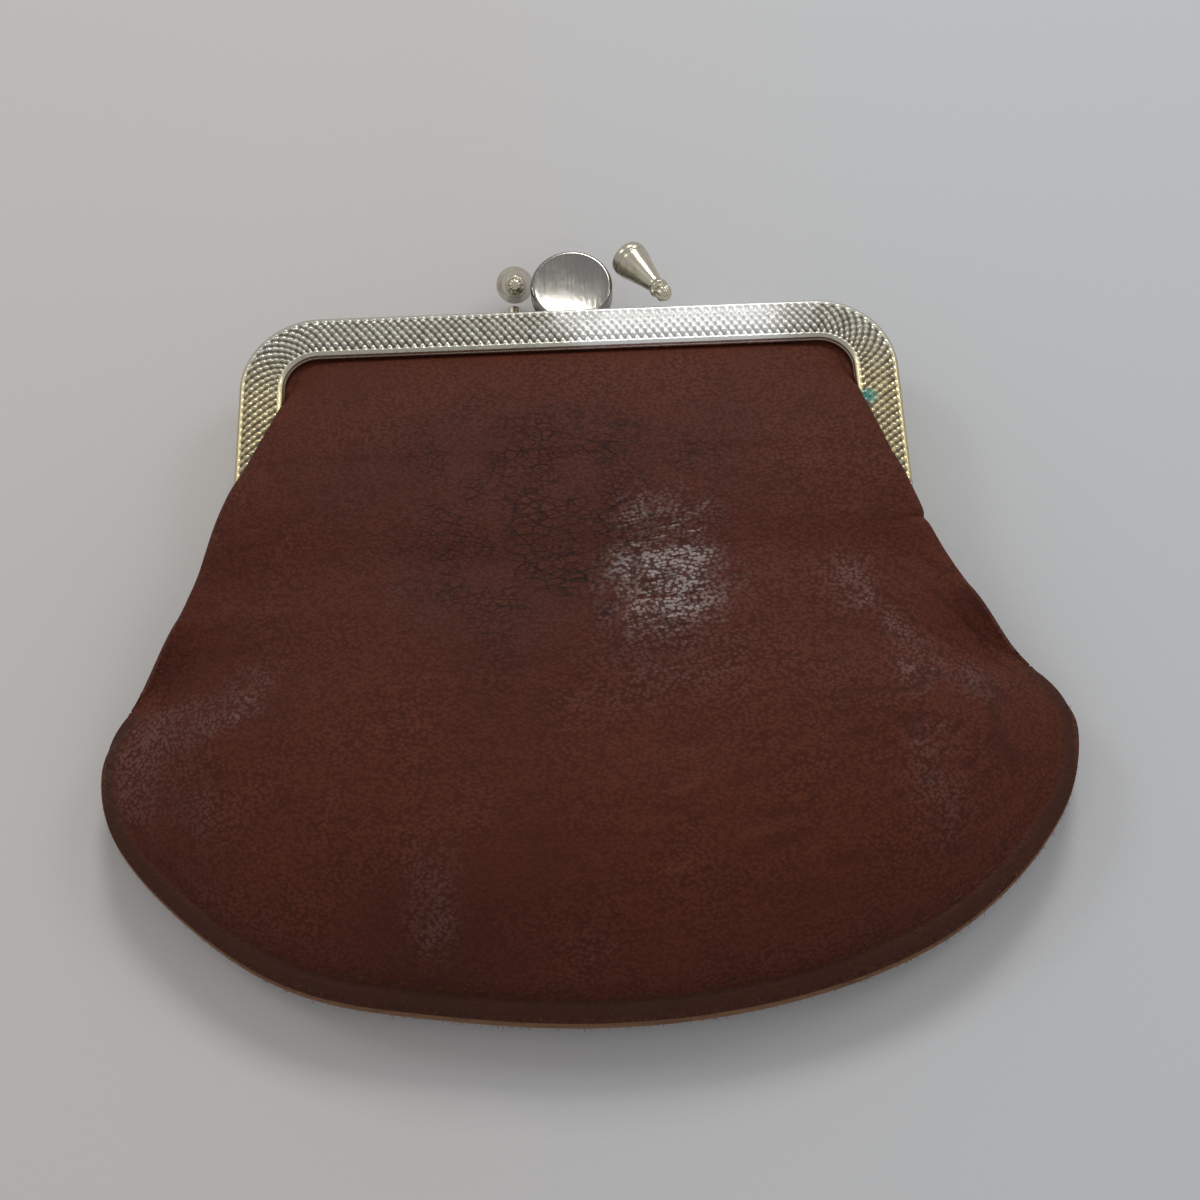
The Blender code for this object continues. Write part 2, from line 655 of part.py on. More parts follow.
def rear_upper(across, down):
    """The rear panel from its top edge in the channel down to where the pouch starts."""
    y = mix(SHEET_TOP, PANEL_FREE_EDGE, down / REAR_FRAME_SHARE)
    if down > REAR_FRAME_SHARE:
        y = mix(PANEL_FREE_EDGE, -POUCH_EDGE,
                (down - REAR_FRAME_SHARE) / (REAR_POUCH_SHARE - REAR_FRAME_SHARE))
    signed = 2 * across - 1
    reach = abs(signed) / REAR_INNER_SHARE
    near = rear_inner_half_width(y)
    climb = smooth((y - INNER_Y + BAR_CLIMB) / (BAR_CLIMB - SEAT_GAP))
    edge_z = mix(rear_edge_height(y), REAR_SLOT, climb)
    middle_z = mix(LEATHER / 2, REAR_SLOT, climb)
    if reach <= 1:
        side = smooth((reach - REAR_PLATEAU_SHARE) / (1 - REAR_PLATEAU_SHARE))
        x = near * reach
        z = mix(mix(middle_z, edge_z, side), rear_height(x, y), smooth(-y / POUCH_EDGE))
    else:
        lip_x = near + LIP_REACH + SEAT_GAP
        way = [(near, edge_z), (near + SEAT_GAP / 2, mix(edge_z, REAR_SLOT, 0.6)),
               (lip_x - CLEAR, REAR_SLOT), (lip_x, REAR_SLOT),
               (slot_half_width(y, SHEET_INSET), REAR_SLOT)]
        x, z = spline_point(way, (reach - 1) / (1 / REAR_INNER_SHARE - 1))
    return Vector((math.copysign(x, signed), y, z))


def rear_surface(across, down):
    """The whole rear panel; its outer columns are there only where the frame holds it."""
    if down <= REAR_POUCH_SHARE:
        return rear_upper(across, down)
    inner = 0.5 + (across - 0.5) / REAR_INNER_SHARE
    return pouch_point(inner, (down - REAR_POUCH_SHARE) / (1 - REAR_POUCH_SHARE),
                       -POUCH_EDGE, fold_half_width(-POUCH_EDGE), rear_height)


def rear_notch(across, down):
    """True for the cells beside the free part, where no leather is."""
    return down > REAR_FRAME_SHARE and abs(2 * across - 1) > REAR_INNER_SHARE


def lining_of(surface, side, margin_share, top_share=0.0):
    """The lining's surface, above (1) or below (-1) a panel's, short of its sides and top edge."""
    lining = off_surface(surface, side * (LEATHER / 2 + SEAT_GAP + LINING / 2))
    return part_of(lining, margin_share, 1 - margin_share, top_share, 1)


def upper_divider(across, down):
    y = mix(SHEET_TOP, DIVIDER_EDGE, down)
    grip = smooth((y - LEG_END) / (PANEL_FREE_EDGE - LEG_END))
    half = mix(INNER_X + LEATHER, slot_half_width(y, SHEET_INSET), grip)
    return Vector(((2 * across - 1) * half, y, HINGE_HEIGHT))


def lower_divider(across, down):
    return pouch_point(across, down, -DIVIDER_EDGE, fold_half_width(-DIVIDER_EDGE) - LEATHER,
                       divider_height)


def gusset_surface(side, low_edge, high_edge):
    """A side gusset folded inwards between two heights, as functions of y."""
    def surface(across, down):
        y = mix(-GUSSET_TOP, -GUSSET_END, down)
        low = low_edge(y)
        high = high_edge(y)
        outer = fold_half_width(y) - GUSSET_IN
        inner = outer - GUSSET_DEPTH
        way = [(outer, high), (mix(outer, inner, 0.6), high), (inner, mix(low, high, 0.75)),
               (inner, mix(low, high, 0.25)), (mix(outer, inner, 0.6), low), (outer, low)]
        x, z = spline_point(way, across)
        return Vector((side * x, y, z))
    return surface


def throat_under_height(y):
    return throat_front_profile(y)[-1][1] - CLEAR - GUSSET_LEATHER / 2


def over_divider_height(y):
    level = divider_height(fold_half_width(y) - GUSSET_IN - GUSSET_DEPTH, y)
    return level + DIVIDER_LEATHER / 2 + GUSSET_CLEAR + GUSSET_LEATHER / 2


def under_divider_height(y):
    level = divider_height(fold_half_width(y), y)
    return level - DIVIDER_LEATHER / 2 - SEAT_GAP - GUSSET_LEATHER / 2


def over_rear_height(y):
    level = mix(rear_edge_height(y), rear_height(fold_half_width(y), y), smooth(-y / POUCH_EDGE))
    return level + CLEAR + GUSSET_LEATHER / 2


def cone_knob(name):
    """A cone knob, turned from rod, its small end a fluted ball behind a collar."""
    top = CONE_LENGTH + COLLAR_LENGTH
    profile = [
        (0, top), (COLLAR_RADIUS * 0.8, top), (COLLAR_RADIUS, top - COLLAR_LENGTH * 0.3),
        (COLLAR_RADIUS, CONE_LENGTH + COLLAR_LENGTH * 0.3), (CONE_NARROW_RADIUS, CONE_LENGTH),
        (CONE_WIDE_RADIUS * 0.96, CONE_SHOULDER), (CONE_WIDE_RADIUS, CONE_SHOULDER * 0.7),
        (CONE_WIDE_RADIUS, CONE_SHOULDER * 0.3), (CONE_CAP_RADIUS, 0),
        (CONE_CAP_RADIUS * 0.6, -CONE_CAP_RISE * 0.7), (0, -CONE_CAP_RISE),
    ]
    body = turned(name, profile, CONE_METAL)
    shape = bmesh.new()
    bmesh.ops.create_uvsphere(shape, u_segments=2 * TIP_FLUTES, v_segments=8, radius=TIP_RADIUS)
    for vert in shape.verts:
        angle = math.atan2(vert.co.y, vert.co.x)
        flute = TIP_FLUTE * (1 - math.cos(TIP_FLUTES * angle)) / 2
        ring = math.hypot(vert.co.x, vert.co.y) / TIP_RADIUS
        vert.co *= 1 - flute * ring / TIP_RADIUS
        vert.co.z += top + TIP_RADIUS * 0.75
    mesh = bpy.data.meshes.new(name + "_ball")
    shape.to_mesh(mesh)
    shape.free()
    ball = place(name + "_ball", mesh, None, group="cutters")
    ball.parent = body
    combine(body, ball, "UNION")
    return body


def build():
    """Makes every piece in its place and hangs the moving ones on the hinge axis."""
    halves = {}
    for name in ("front_half_axis", "middle_half_axis"):
        empty = bpy.data.objects.new(name, None)
        empty.location = (0, 0, HINGE_HEIGHT)
        GROUPS["coin_purse"].objects.link(empty)
        halves[name.split("_")[0]] = empty
    halves["front"].parent = halves["middle"]
    halves["front"].location = (0, 0, 0)

    front_frame = frame_channel("front_frame", domed=True)
    front_frame.location.z = FRONT_MATE
    rear_frame = frame_channel("rear_frame", domed=True)
    rear_frame.location.z = REAR_MATE
    rear_frame.rotation_euler = (0, math.pi, 0)
    middle_frame = frame_channel("middle_frame", domed=False)
    middle_frame.location.z = HINGE_HEIGHT - MIDDLE_FRAME_DEPTH / 2
    ear_pitch = EAR_THICKNESS + RUNNING_GAP
    ear_rooms = {
        front_frame: (0, FRONT_MATE + RUNNING_GAP, FRONT_FACE - FRAME_DOME - RUNNING_GAP, EAR_OVERLAP),
        middle_frame: (1, HINGE_HEIGHT - MIDDLE_FRAME_DEPTH / 2 + RUNNING_GAP,
                       HINGE_HEIGHT + MIDDLE_FRAME_DEPTH / 2 - RUNNING_GAP, FRAME_WALL),
        rear_frame: (2, BACK_BULGE + FRAME_DOME + RUNNING_GAP, REAR_MATE - RUNNING_GAP, EAR_OVERLAP),
    }
    for side, side_name in ((-1, "left"), (1, "right")):
        hole = rivet_hole("rivet_hole_" + side_name, side)
        for frame, (layer, low, high, reach) in ear_rooms.items():
            outer = FRAME_WIDTH / 2 - layer * ear_pitch
            lug = ear(frame.name + "_ear_" + side_name, side, outer, low, high, reach)
            combine(frame, lug, "UNION")
            combine(frame, hole, "DIFFERENCE")
        rivet(side_name, side)
    for frame in ear_rooms:
        frame.data.materials.append(finish(frame.name, *PLATED_METAL))

    disc = disc_knob()
    front_knob = cone_knob("front_lock_knob")
    lean = Vector(FRONT_CONE_LEAN).normalized()
    tip = Vector((FRONT_TIP_X, FRAME_HEIGHT + TIP_RADIUS + FRONT_TIP_GAP, FRONT_FACE - FRONT_TIP_DROP))
    front_knob.location = tip - lean * (CONE_LENGTH + COLLAR_LENGTH + TIP_RADIUS * 0.75)
    front_knob.rotation_euler = lean.to_track_quat("Z", "Y").to_euler()
    rear_knob = cone_knob("rear_lock_knob")
    lean = Vector(REAR_CONE_LEAN).normalized()
    rear_knob.location = (REAR_CONE_X, FRAME_HEIGHT + REAR_CONE_RISE, REAR_CONE_HEIGHT)
    rear_knob.rotation_euler = lean.to_track_quat("Z", "Y").to_euler()
    rear_post()

    cords = {"front": FRONT_SLOT, "middle": HINGE_HEIGHT, "rear": REAR_SLOT}
    cord_objects = {name: paper_cord(name + "_paper_cord", height) for name, height in cords.items()}

    upper = sheet("front_panel_upper", upper_front, UPPER_COLUMNS, UPPER_ROWS, LEATHER, LEATHER_FINISH)
    sheet("front_panel_throat", throat_front, THROAT_COLUMNS, THROAT_ROWS, LEATHER, LEATHER_FINISH)
    sheet("front_panel_lower", lower_front, LOWER_COLUMNS, LOWER_ROWS, LEATHER, LEATHER_FINISH)
    spare_columns, spare_rows = 10, 3
    upper_lining = sheet("front_lining_upper",
                         lining_of(upper_front, -1, spare_columns / UPPER_COLUMNS, spare_rows / UPPER_ROWS),
                         UPPER_COLUMNS - 2 * spare_columns, UPPER_ROWS - spare_rows, LINING, LINING_FINISH)
    spare_columns = FOLD_COLUMNS + 1
    sheet("front_lining_lower", lining_of(lower_front, -1, spare_columns / LOWER_COLUMNS),
          LOWER_COLUMNS - 2 * spare_columns, LOWER_ROWS, LINING, LINING_FINISH)
    divider_top = sheet("divider_upper", upper_divider, DIVIDER_TOP_COLUMNS, DIVIDER_ROWS,
                        DIVIDER_LEATHER, DIVIDER_FINISH)
    sheet("divider_lower", lower_divider, DIVIDER_COLUMNS, DIVIDER_ROWS, DIVIDER_LEATHER, DIVIDER_FINISH)
    sheet("rear_panel", rear_surface, REAR_COLUMNS, REAR_ROWS, LEATHER, LEATHER_FINISH, notch=rear_notch)
    spare_columns = REAR_HELD_COLUMNS + 1
    sheet("rear_lining", lining_of(rear_surface, 1, spare_columns / REAR_COLUMNS, spare_rows / REAR_ROWS),
          REAR_COLUMNS - 2 * spare_columns, REAR_ROWS - spare_rows, LINING, LINING_FINISH)
    for side, side_name in ((-1, "left"), (1, "right")):
        sheet("front_gusset_" + side_name,
              gusset_surface(side, over_divider_height, throat_under_height),
              GUSSET_COLUMNS, GUSSET_ROWS, GUSSET_LEATHER, DIVIDER_FINISH)
        sheet("rear_gusset_" + side_name,
              gusset_surface(side, over_rear_height, under_divider_height),
              GUSSET_COLUMNS, GUSSET_ROWS, GUSSET_LEATHER, DIVIDER_FINISH)

    hang(halves["front"], front_frame, front_knob, cord_objects["front"], upper, upper_lining)
    hang(halves["middle"], middle_frame, disc, cord_objects["middle"], divider_top)


def hang(axis, *pieces):
    """Parents pieces to the empty on their hinge axis and leaves them where they are."""
    bpy.context.view_layer.update()
    for piece in pieces:
        piece.parent = axis
        piece.matrix_parent_inverse = axis.matrix_world.inverted()


def rivet(side_name, side):
    """A hinge rivet: its domed head outside the ears and its upset tail inside them."""
    outer = FRAME_WIDTH / 2 + RUNNING_GAP
    inner = FRAME_WIDTH / 2 - 3 * EAR_THICKNESS - 3 * RUNNING_GAP
    profile = [
        (0, outer + RIVET_HEAD_HEIGHT), (RIVET_HEAD_RADIUS * 0.6, outer + RIVET_HEAD_HEIGHT * 0.85),
        (RIVET_HEAD_RADIUS * 0.95, outer + RIVET_HEAD_HEIGHT * 0.4), (RIVET_HEAD_RADIUS, outer),
        (RIVET_RADIUS, outer), (RIVET_RADIUS, inner), (RIVET_TAIL_RADIUS, inner),
        (RIVET_TAIL_RADIUS * 0.9, inner - RIVET_TAIL_HEIGHT * 0.8), (0, inner - RIVET_TAIL_HEIGHT),
    ]
    pin = turned("hinge_rivet_" + side_name, profile, PLATED_METAL)
    pin.location.z = HINGE_HEIGHT
    pin.rotation_euler = (0, side * math.pi / 2, 0)
    return pin


def disc_knob():
    """The disc on the middle frame's bar, its lower edge filed flat where it is brazed on."""
    half = DISC_THICKNESS / 2
    profile = [
        (0, half), (DISC_RADIUS - DISC_EDGE, half), (DISC_RADIUS - DISC_EDGE * 0.3, half - DISC_EDGE * 0.3),
        (DISC_RADIUS, half - DISC_EDGE), (DISC_RADIUS, -half + DISC_EDGE),
        (DISC_RADIUS - DISC_EDGE * 0.3, -half + DISC_EDGE * 0.3),
        (DISC_RADIUS - DISC_EDGE, -half), (0, -half),
    ]
    disc = turned("disc_lock_knob", profile, DISC_METAL)
    disc.modifiers["Turned"].steps = 2 * TURN_STEPS
    disc.modifiers["Turned"].render_steps = 2 * TURN_STEPS
    disc.location = (DISC_X, FRAME_HEIGHT + DISC_RISE, HINGE_HEIGHT)
    shape = bmesh.new()
    bmesh.ops.create_cube(shape, size=2 * DISC_RADIUS)
    mesh = bpy.data.meshes.new("disc_seat")
    shape.to_mesh(mesh)
    shape.free()
    seat = place("disc_seat", mesh, None, group="cutters")
    seat.location = (DISC_X, FRAME_HEIGHT + SEAT_GAP - DISC_RADIUS, HINGE_HEIGHT)
    combine(disc, seat, "DIFFERENCE")
    return disc


def rear_post():
    """The post that carries the rear cone knob above the rear frame's bar."""
    lean = math.atan2(-REAR_CONE_LEAN[1], REAR_CONE_LEAN[2])
    cone_side = CONE_WIDE_RADIUS / math.cos(lean) + REAR_POST_RADIUS * math.tan(lean)
    length = REAR_CONE_RISE - (REAR_SLOT - REAR_CONE_HEIGHT) * math.tan(lean) - cone_side - 2 * SEAT_GAP
    profile = [(0, length), (REAR_POST_RADIUS, length), (REAR_POST_RADIUS, 0), (0, 0)]
    post = turned("rear_lock_post", profile, CONE_METAL)
    post.location = (REAR_CONE_X, FRAME_HEIGHT + SEAT_GAP, REAR_SLOT)
    post.rotation_euler = (-math.pi / 2, 0, 0)
    return post


def paper_cord(name, height):
    """The paper cord pushed into a channel to wedge the leather."""
    data = poly_curve(name, [(x, y, height) for x, y in u_path(CORD_DEPTH, LEG_END + 3 * CORD_RADIUS)],
                      flat=False)
    data.bevel_depth = CORD_RADIUS
    data.bevel_resolution = 1
    data.use_fill_caps = True
    return place(name, data, CORD_FINISH)


build()
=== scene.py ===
"""Double kiss lock coin purse, dressed over its CAD frame.

The purse lies on its back. +X runs along the hinge, +Y from the hinge to the lock knobs and +Z up
through the front of the purse. Lengths are in metres, and MM is one millimetre.
"""

import math

import bmesh
import bpy
import numpy as np
from mathutils import Matrix, Vector


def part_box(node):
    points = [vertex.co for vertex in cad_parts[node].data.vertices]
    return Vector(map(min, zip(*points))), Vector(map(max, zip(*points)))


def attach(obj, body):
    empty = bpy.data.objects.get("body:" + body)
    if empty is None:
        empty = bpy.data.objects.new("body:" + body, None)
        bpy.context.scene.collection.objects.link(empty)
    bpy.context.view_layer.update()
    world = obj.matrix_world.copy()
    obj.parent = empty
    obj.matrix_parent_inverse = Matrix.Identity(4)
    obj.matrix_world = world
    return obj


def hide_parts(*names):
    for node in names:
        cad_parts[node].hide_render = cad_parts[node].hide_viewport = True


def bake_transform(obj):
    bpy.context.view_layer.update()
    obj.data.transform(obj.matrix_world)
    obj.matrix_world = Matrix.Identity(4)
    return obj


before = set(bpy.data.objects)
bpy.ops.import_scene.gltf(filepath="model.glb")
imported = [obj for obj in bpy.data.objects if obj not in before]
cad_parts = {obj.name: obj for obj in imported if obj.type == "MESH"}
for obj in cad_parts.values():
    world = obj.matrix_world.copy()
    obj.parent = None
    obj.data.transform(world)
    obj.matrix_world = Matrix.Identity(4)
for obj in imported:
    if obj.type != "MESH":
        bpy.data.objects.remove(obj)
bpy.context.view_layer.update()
MM = 0.001


# The end frames: two U-shaped channels pressed from thin brass sheet and plated. A knurling wheel
# has rolled diamonds into the face between a smooth outer edge and a rolled inner one, and an ear
# at the end of each leg takes the hinge rivet.

FRAME_WIDTH = 88.0 * MM
FRAME_HEIGHT = 31.0 * MM
FRAME_FACE = 6.1 * MM
FRAME_CORNER = 10.5 * MM
FRAME_DEPTH = 3.6 * MM
FRAME_WALL = 0.5 * MM
FRAME_DOME = 1.0 * MM
DOME_POWER = 3
LEG_END = 3.5 * MM
RUNNING_GAP = 0.3 * MM
MIDDLE_DEPTH = 2.4 * MM
BACK_BULGE = 2.5 * MM
HINGE_HEIGHT = BACK_BULGE + FRAME_DEPTH + RUNNING_GAP + MIDDLE_DEPTH / 2
FRONT_MATE = HINGE_HEIGHT + MIDDLE_DEPTH / 2 + RUNNING_GAP
REAR_MATE = HINGE_HEIGHT - MIDDLE_DEPTH / 2 - RUNNING_GAP
FRONT_FACE = FRONT_MATE + FRAME_DEPTH

EDGE_BAND = 0.60 * MM
EDGE_BAND_RISE = 0.10 * MM
INNER_ROLL = 0.85 * MM
INNER_ROLL_RISE = 0.10 * MM
INNER_ROLL_DEPTH = 0.70 * MM
TIP_PITCH = 1.11 * MM
ROW_PITCH = 0.70 * MM
KNURL_DEPTH = 0.26 * MM
PATH_STEPS = 900
KNURL_STEPS = 44
BAND_STEPS = 8

EAR_RADIUS = 2.2 * MM
EAR_THICKNESS = 0.8 * MM
EAR_ROUND = 0.12 * MM
EAR_OVERLAP = 0.3 * MM


class Wire:
    """A value in a material. Sums and products of wires and numbers add their Math nodes."""

    def __init__(self, finish, socket):
        self.finish = finish
        self.socket = socket

    def __add__(self, other):
        return self.finish.maths("ADD", self, other)

    def __sub__(self, other):
        return self.finish.maths("SUBTRACT", self, other)

    def __rsub__(self, other):
        return self.finish.maths("SUBTRACT", other, self)

    def __mul__(self, other):
        return self.finish.maths("MULTIPLY", self, other)

    def __truediv__(self, other):
        return self.finish.maths("DIVIDE", self, other)

    def __pow__(self, other):
        return self.finish.maths("POWER", self, other)

    __radd__ = __add__
    __rmul__ = __mul__


class Finish:
    """A material. Every node of it comes from node(), and shine() sets the shader's own sockets."""

    def __init__(self, name):
        self.material = bpy.data.materials.new(name)
        self.material.use_nodes = True
        self.tree = self.material.node_tree
        self.shader = self.tree.nodes["Principled BSDF"]

    def node(self, kind, settings, inputs, output=0):
        """Adds a node, sets its settings, then its sockets from values or wires; gives an output."""
        made = self.tree.nodes.new("ShaderNode" + kind)
        for key, value in settings.items():
            if key == "stops":
                ramp = made.color_ramp
                while len(ramp.elements) < len(value):
                    ramp.elements.new(0.5)
                for stop, (place, colour) in zip(ramp.elements, value):
                    stop.position = place
                    stop.color = (*colour, 1.0)
            else:
                setattr(made, key, value)
        for key, value in inputs.items():
            self.feed(made.inputs[key], value)
        return Wire(self, made.outputs[output])

    def feed(self, socket, value):
        if isinstance(value, Wire):
            self.tree.links.new(value.socket, socket)
        elif isinstance(value, (tuple, list)) and len(socket.default_value) == 4:
            socket.default_value = (*value[:3], 1.0)
        else:
            socket.default_value = value

    def shine(self, **values):
        """Feeds the shader's sockets; base_color stands for Base Color, and so on."""
        for key, value in values.items():
            self.feed(self.shader.inputs[key.replace("_", " ").title().replace("Ior", "IOR")], value)

    def maths(self, operation, first, second):
        return self.node("Math", {"operation": operation}, {0: first, 1: second})

    def coords(self):
        return self.node("TexCoord", {}, {}, "Object")

    def stretched(self, scale, turn=(0, 0, 0)):
        """The piece's own coordinates, turned and scaled."""
        return self.node("Mapping", {}, {"Vector": self.coords(), "Rotation": turn, "Scale": scale})

    def noise(self, scale, detail=3.0, rough=0.55, vector=None, twist=0.0):
        return self.node("TexNoise", {}, {"Vector": vector or self.coords(), "Scale": scale, "Detail": detail,
                                          "Roughness": rough, "Distortion": twist}, "Fac")

    def cells(self, scale, feature="DISTANCE_TO_EDGE", vector=None):
        return self.node("TexVoronoi", {"feature": feature},
                         {"Vector": vector or self.coords(), "Scale": scale}, "Distance")

    def span(self, value, low, high, first=0.0, last=1.0):
        """Eases from first to last as the value goes from low to high."""
        return self.node("MapRange", {"interpolation_type": "SMOOTHSTEP"},
                         {"Value": value, "From Min": low, "From Max": high, "To Min": first, "To Max": last})

    def mixed(self, share, first, second):
        """A colour between two, the second where the share is 1."""
        return self.node("Mix", {"data_type": "RGBA"}, {0: share, 6: first, 7: second}, 2)

    def axis(self, name):
        """One of the piece's own coordinates, X, Y or Z."""
        return self.node("SeparateXYZ", {}, {0: self.coords()}, name)

    def away_from(self, place):
        """The distance from a place to each point of the piece."""
        return self.node("VectorMath", {"operation": "DISTANCE"}, {0: self.coords(), 1: place}, "Value")

    def mark(self, name):
        """A named mark of the piece, one value for each point; it reads 0 on a piece without it."""
        return self.node("Attribute", {"attribute_name": name}, {}, "Fac")

    def relief(self, height, distance, strength=1.0):
        """Feeds a height from 0 to 1 to the shader's normal; at 1 it stands the distance high."""
        bump = self.node("Bump", {}, {"Strength": strength, "Distance": distance, "Height": height}, "Normal")
        self.feed(self.shader.inputs["Normal"], bump)


def eased(share):
    """Rises from 0 to 1 with the share, level at both ends: 3 s squared minus 2 s cubed."""
    share = np.clip(share, 0, 1)
    return share * share * (3 - 2 * share)


def between(first, second, share):
    """The value at a share of the way from the first to the second."""
    return first + (second - first) * share


def grid_faces(rows, columns, wrap_columns=False):
    """Corner numbers of a grid's faces; each joins two neighbours on two neighbouring rows."""
    row = np.arange(rows - 1)[:, None] * columns
    along = np.arange(columns if wrap_columns else columns - 1)[None, :]
    next_along = (along + 1) % columns
    corners = (row + along, row + next_along, row + columns + next_along, row + columns + along)
    return np.stack(corners, axis=-1).reshape(-1, 4).tolist()


def tube_faces(rows, columns):
    """Corner numbers of a tube's faces, closed at both ends by a cap on its first and last row."""
    caps = [list(range(columns)), list(range((rows - 1) * columns, rows * columns))]
    return grid_faces(rows, columns, wrap_columns=True) + caps


def placed(name, mesh, finishes):
    """An object at the origin that wears the finishes on the mesh."""
    for finish in finishes:
        mesh.materials.append(finish.material)
    piece = bpy.data.objects.new(name, mesh)
    bpy.context.scene.collection.objects.link(piece)
    return piece


def new_piece(name, points, faces, finishes, groove=None, closed=True):
    """A piece from points and faces. A closed one has its doubles merged and its faces turned out."""
    mesh = bpy.data.meshes.new(name)
    mesh.from_pydata(points.reshape(-1, 3).tolist(), [], faces)
    if groove is not None:
        mesh.attributes.new("groove", "FLOAT", "POINT").data.foreach_set("value", groove.ravel())
    if closed:
        shape = bmesh.new()
        shape.from_mesh(mesh)
        bmesh.ops.remove_doubles(shape, verts=shape.verts, dist=0.001 * MM)
        bmesh.ops.dissolve_degenerate(shape, edges=shape.edges, dist=0.001 * MM)
        bmesh.ops.recalc_face_normals(shape, faces=shape.faces)
        shape.to_mesh(mesh)
        shape.free()
    mesh.shade_smooth()
    return placed(name, mesh, finishes)


def join(parts):
    """Points and faces of several parts as one; each part is its points and its faces."""
    points, faces, first = [], [], 0
    for part_points, part_faces in parts:
        part_points = part_points.reshape(-1, 3)
        points.append(part_points)
        faces.extend([[corner + first for corner in face] for face in part_faces])
        first += len(part_points)
    return np.vstack(points), faces


def frame_path(inset, steps):
    """Points, outward directions and lengths along a U that lies inset from a frame's outer edge.

    It runs up the left leg, round by a quarter turn, along the bar, round again and down. The
    heading falls from a quarter turn to minus a quarter turn, and out is square to it on the left.
    """
    half, top, radius = FRAME_WIDTH / 2 - inset, FRAME_HEIGHT - inset, FRAME_CORNER - inset
    leg, bar, turn = top - radius - LEG_END, 2 * (half - radius), radius * math.pi / 2
    length = np.linspace(0, 2 * leg + 2 * turn + bar, steps)
    first = np.clip((length - leg) / turn, 0, 1) * math.pi / 2
    second = np.clip((length - leg - turn - bar) / turn, 0, 1) * math.pi / 2
    x = -half + radius * (1 - np.cos(first)) + np.clip(length - leg - turn, 0, bar) + radius * np.sin(second)
    y = (LEG_END + np.clip(length, 0, leg) + radius * np.sin(first)
         - radius * (1 - np.cos(second)) - np.clip(length - leg - 2 * turn - bar, 0, leg))
    heading = math.pi / 2 - first - second
    return np.stack([x, y], 1), np.stack([-np.sin(heading), np.cos(heading)], 1), length


def channel_section():
    """The channel's outline as places across, positive outwards, heights, and knurl weights.

    From the mating side up the outer wall, round its edge, over the domed face, round the inner
    roll, back under the face at the wall's thickness and along the mating plate.
    """
    edge = FRAME_FACE / 2
    face = np.concatenate([
        np.linspace(edge - EDGE_BAND / 4, edge - EDGE_BAND, BAND_STEPS),
        np.linspace(edge - EDGE_BAND, INNER_ROLL - edge, KNURL_STEPS)[1:],
        np.linspace(INNER_ROLL - edge, INNER_ROLL / 4 - edge, BAND_STEPS)[1:]])
    dome = FRAME_DEPTH - FRAME_DOME * np.abs(face / edge) ** DOME_POWER
    band = np.clip(1 - ((edge - EDGE_BAND / 2 - face) / (EDGE_BAND / 2)) ** 2, 0, 1)
    roll = np.clip(1 - ((INNER_ROLL / 2 - edge - face) / (INNER_ROLL / 2)) ** 2, 0, 1)
    height = dome + EDGE_BAND_RISE * band ** 0.5 + INNER_ROLL_RISE * roll ** 0.5
    inside = np.minimum(edge - EDGE_BAND / 2 - face, face + edge - INNER_ROLL / 2)
    weight = eased(inside / (EDGE_BAND / 2) - 0.9)
    turn = np.linspace(0.5, 2.6, 7)
    low = FRAME_DEPTH - FRAME_DOME
    reach = INNER_ROLL_DEPTH / 2
    roll_across = reach - edge - reach * np.sin(turn)
    roll_height = low - reach * 0.8 + reach * np.cos(turn)
    back = np.linspace(INNER_ROLL - edge, edge - FRAME_WALL, 9)
    back_height = FRAME_DEPTH - FRAME_WALL - KNURL_DEPTH - FRAME_DOME * np.abs(back / edge) ** DOME_POWER
    across = np.concatenate([[edge, edge, edge - 0.05 * MM], face, roll_across, back,
                             [edge - FRAME_WALL, -edge, -edge]])
    heights = np.concatenate([[0, low - EDGE_BAND / 2, low - EDGE_BAND / 8], height, roll_height, back_height,
                              [FRAME_WALL, FRAME_WALL, 0]])
    weights = np.zeros(len(across))
    weights[3:3 + len(face)] = weight
    return across, heights, weights


def knurled_channel(mate, way):
    """Points, faces and groove shares of an end frame; way is 1 for the front one, -1 for the rear.

    The knurl is two crossing sets of grooves. Their phases are the length along the path in tip
    pitches, plus and minus the place across in double row pitches; a tip stands where both cosines
    are 1. One set is cut deeper than the other.
    """
    path, out, length = frame_path(FRAME_FACE / 2, PATH_STEPS)
    across, heights, weights = channel_section()
    along = length[:, None] / TIP_PITCH
    over = across[None, :] / (2 * ROW_PITCH)
    wander = 0.03 * np.sin(along * 0.9) + 0.02 * np.sin(along * 2.3 + 1)
    first = 0.5 + 0.5 * np.cos(2 * math.pi * (along + over + wander))
    second = 0.5 + 0.5 * np.cos(2 * math.pi * (along - over))
    tip = (0.12 + 0.88 * first ** 0.9) * (0.30 + 0.70 * second ** 0.8)
    ends = eased(np.minimum(length, length[-1] - length) / (0.6 * MM))[:, None]
    cut = weights[None, :] * ends * (1 - tip)
    points = np.empty((PATH_STEPS, len(across), 3))
    points[:, :, :2] = path[:, None, :] + out[:, None, :] * across[None, :, None]
    points[:, :, 2] = mate + way * (heights[None, :] - KNURL_DEPTH * cut)
    return points, tube_faces(PATH_STEPS, len(across)), cut


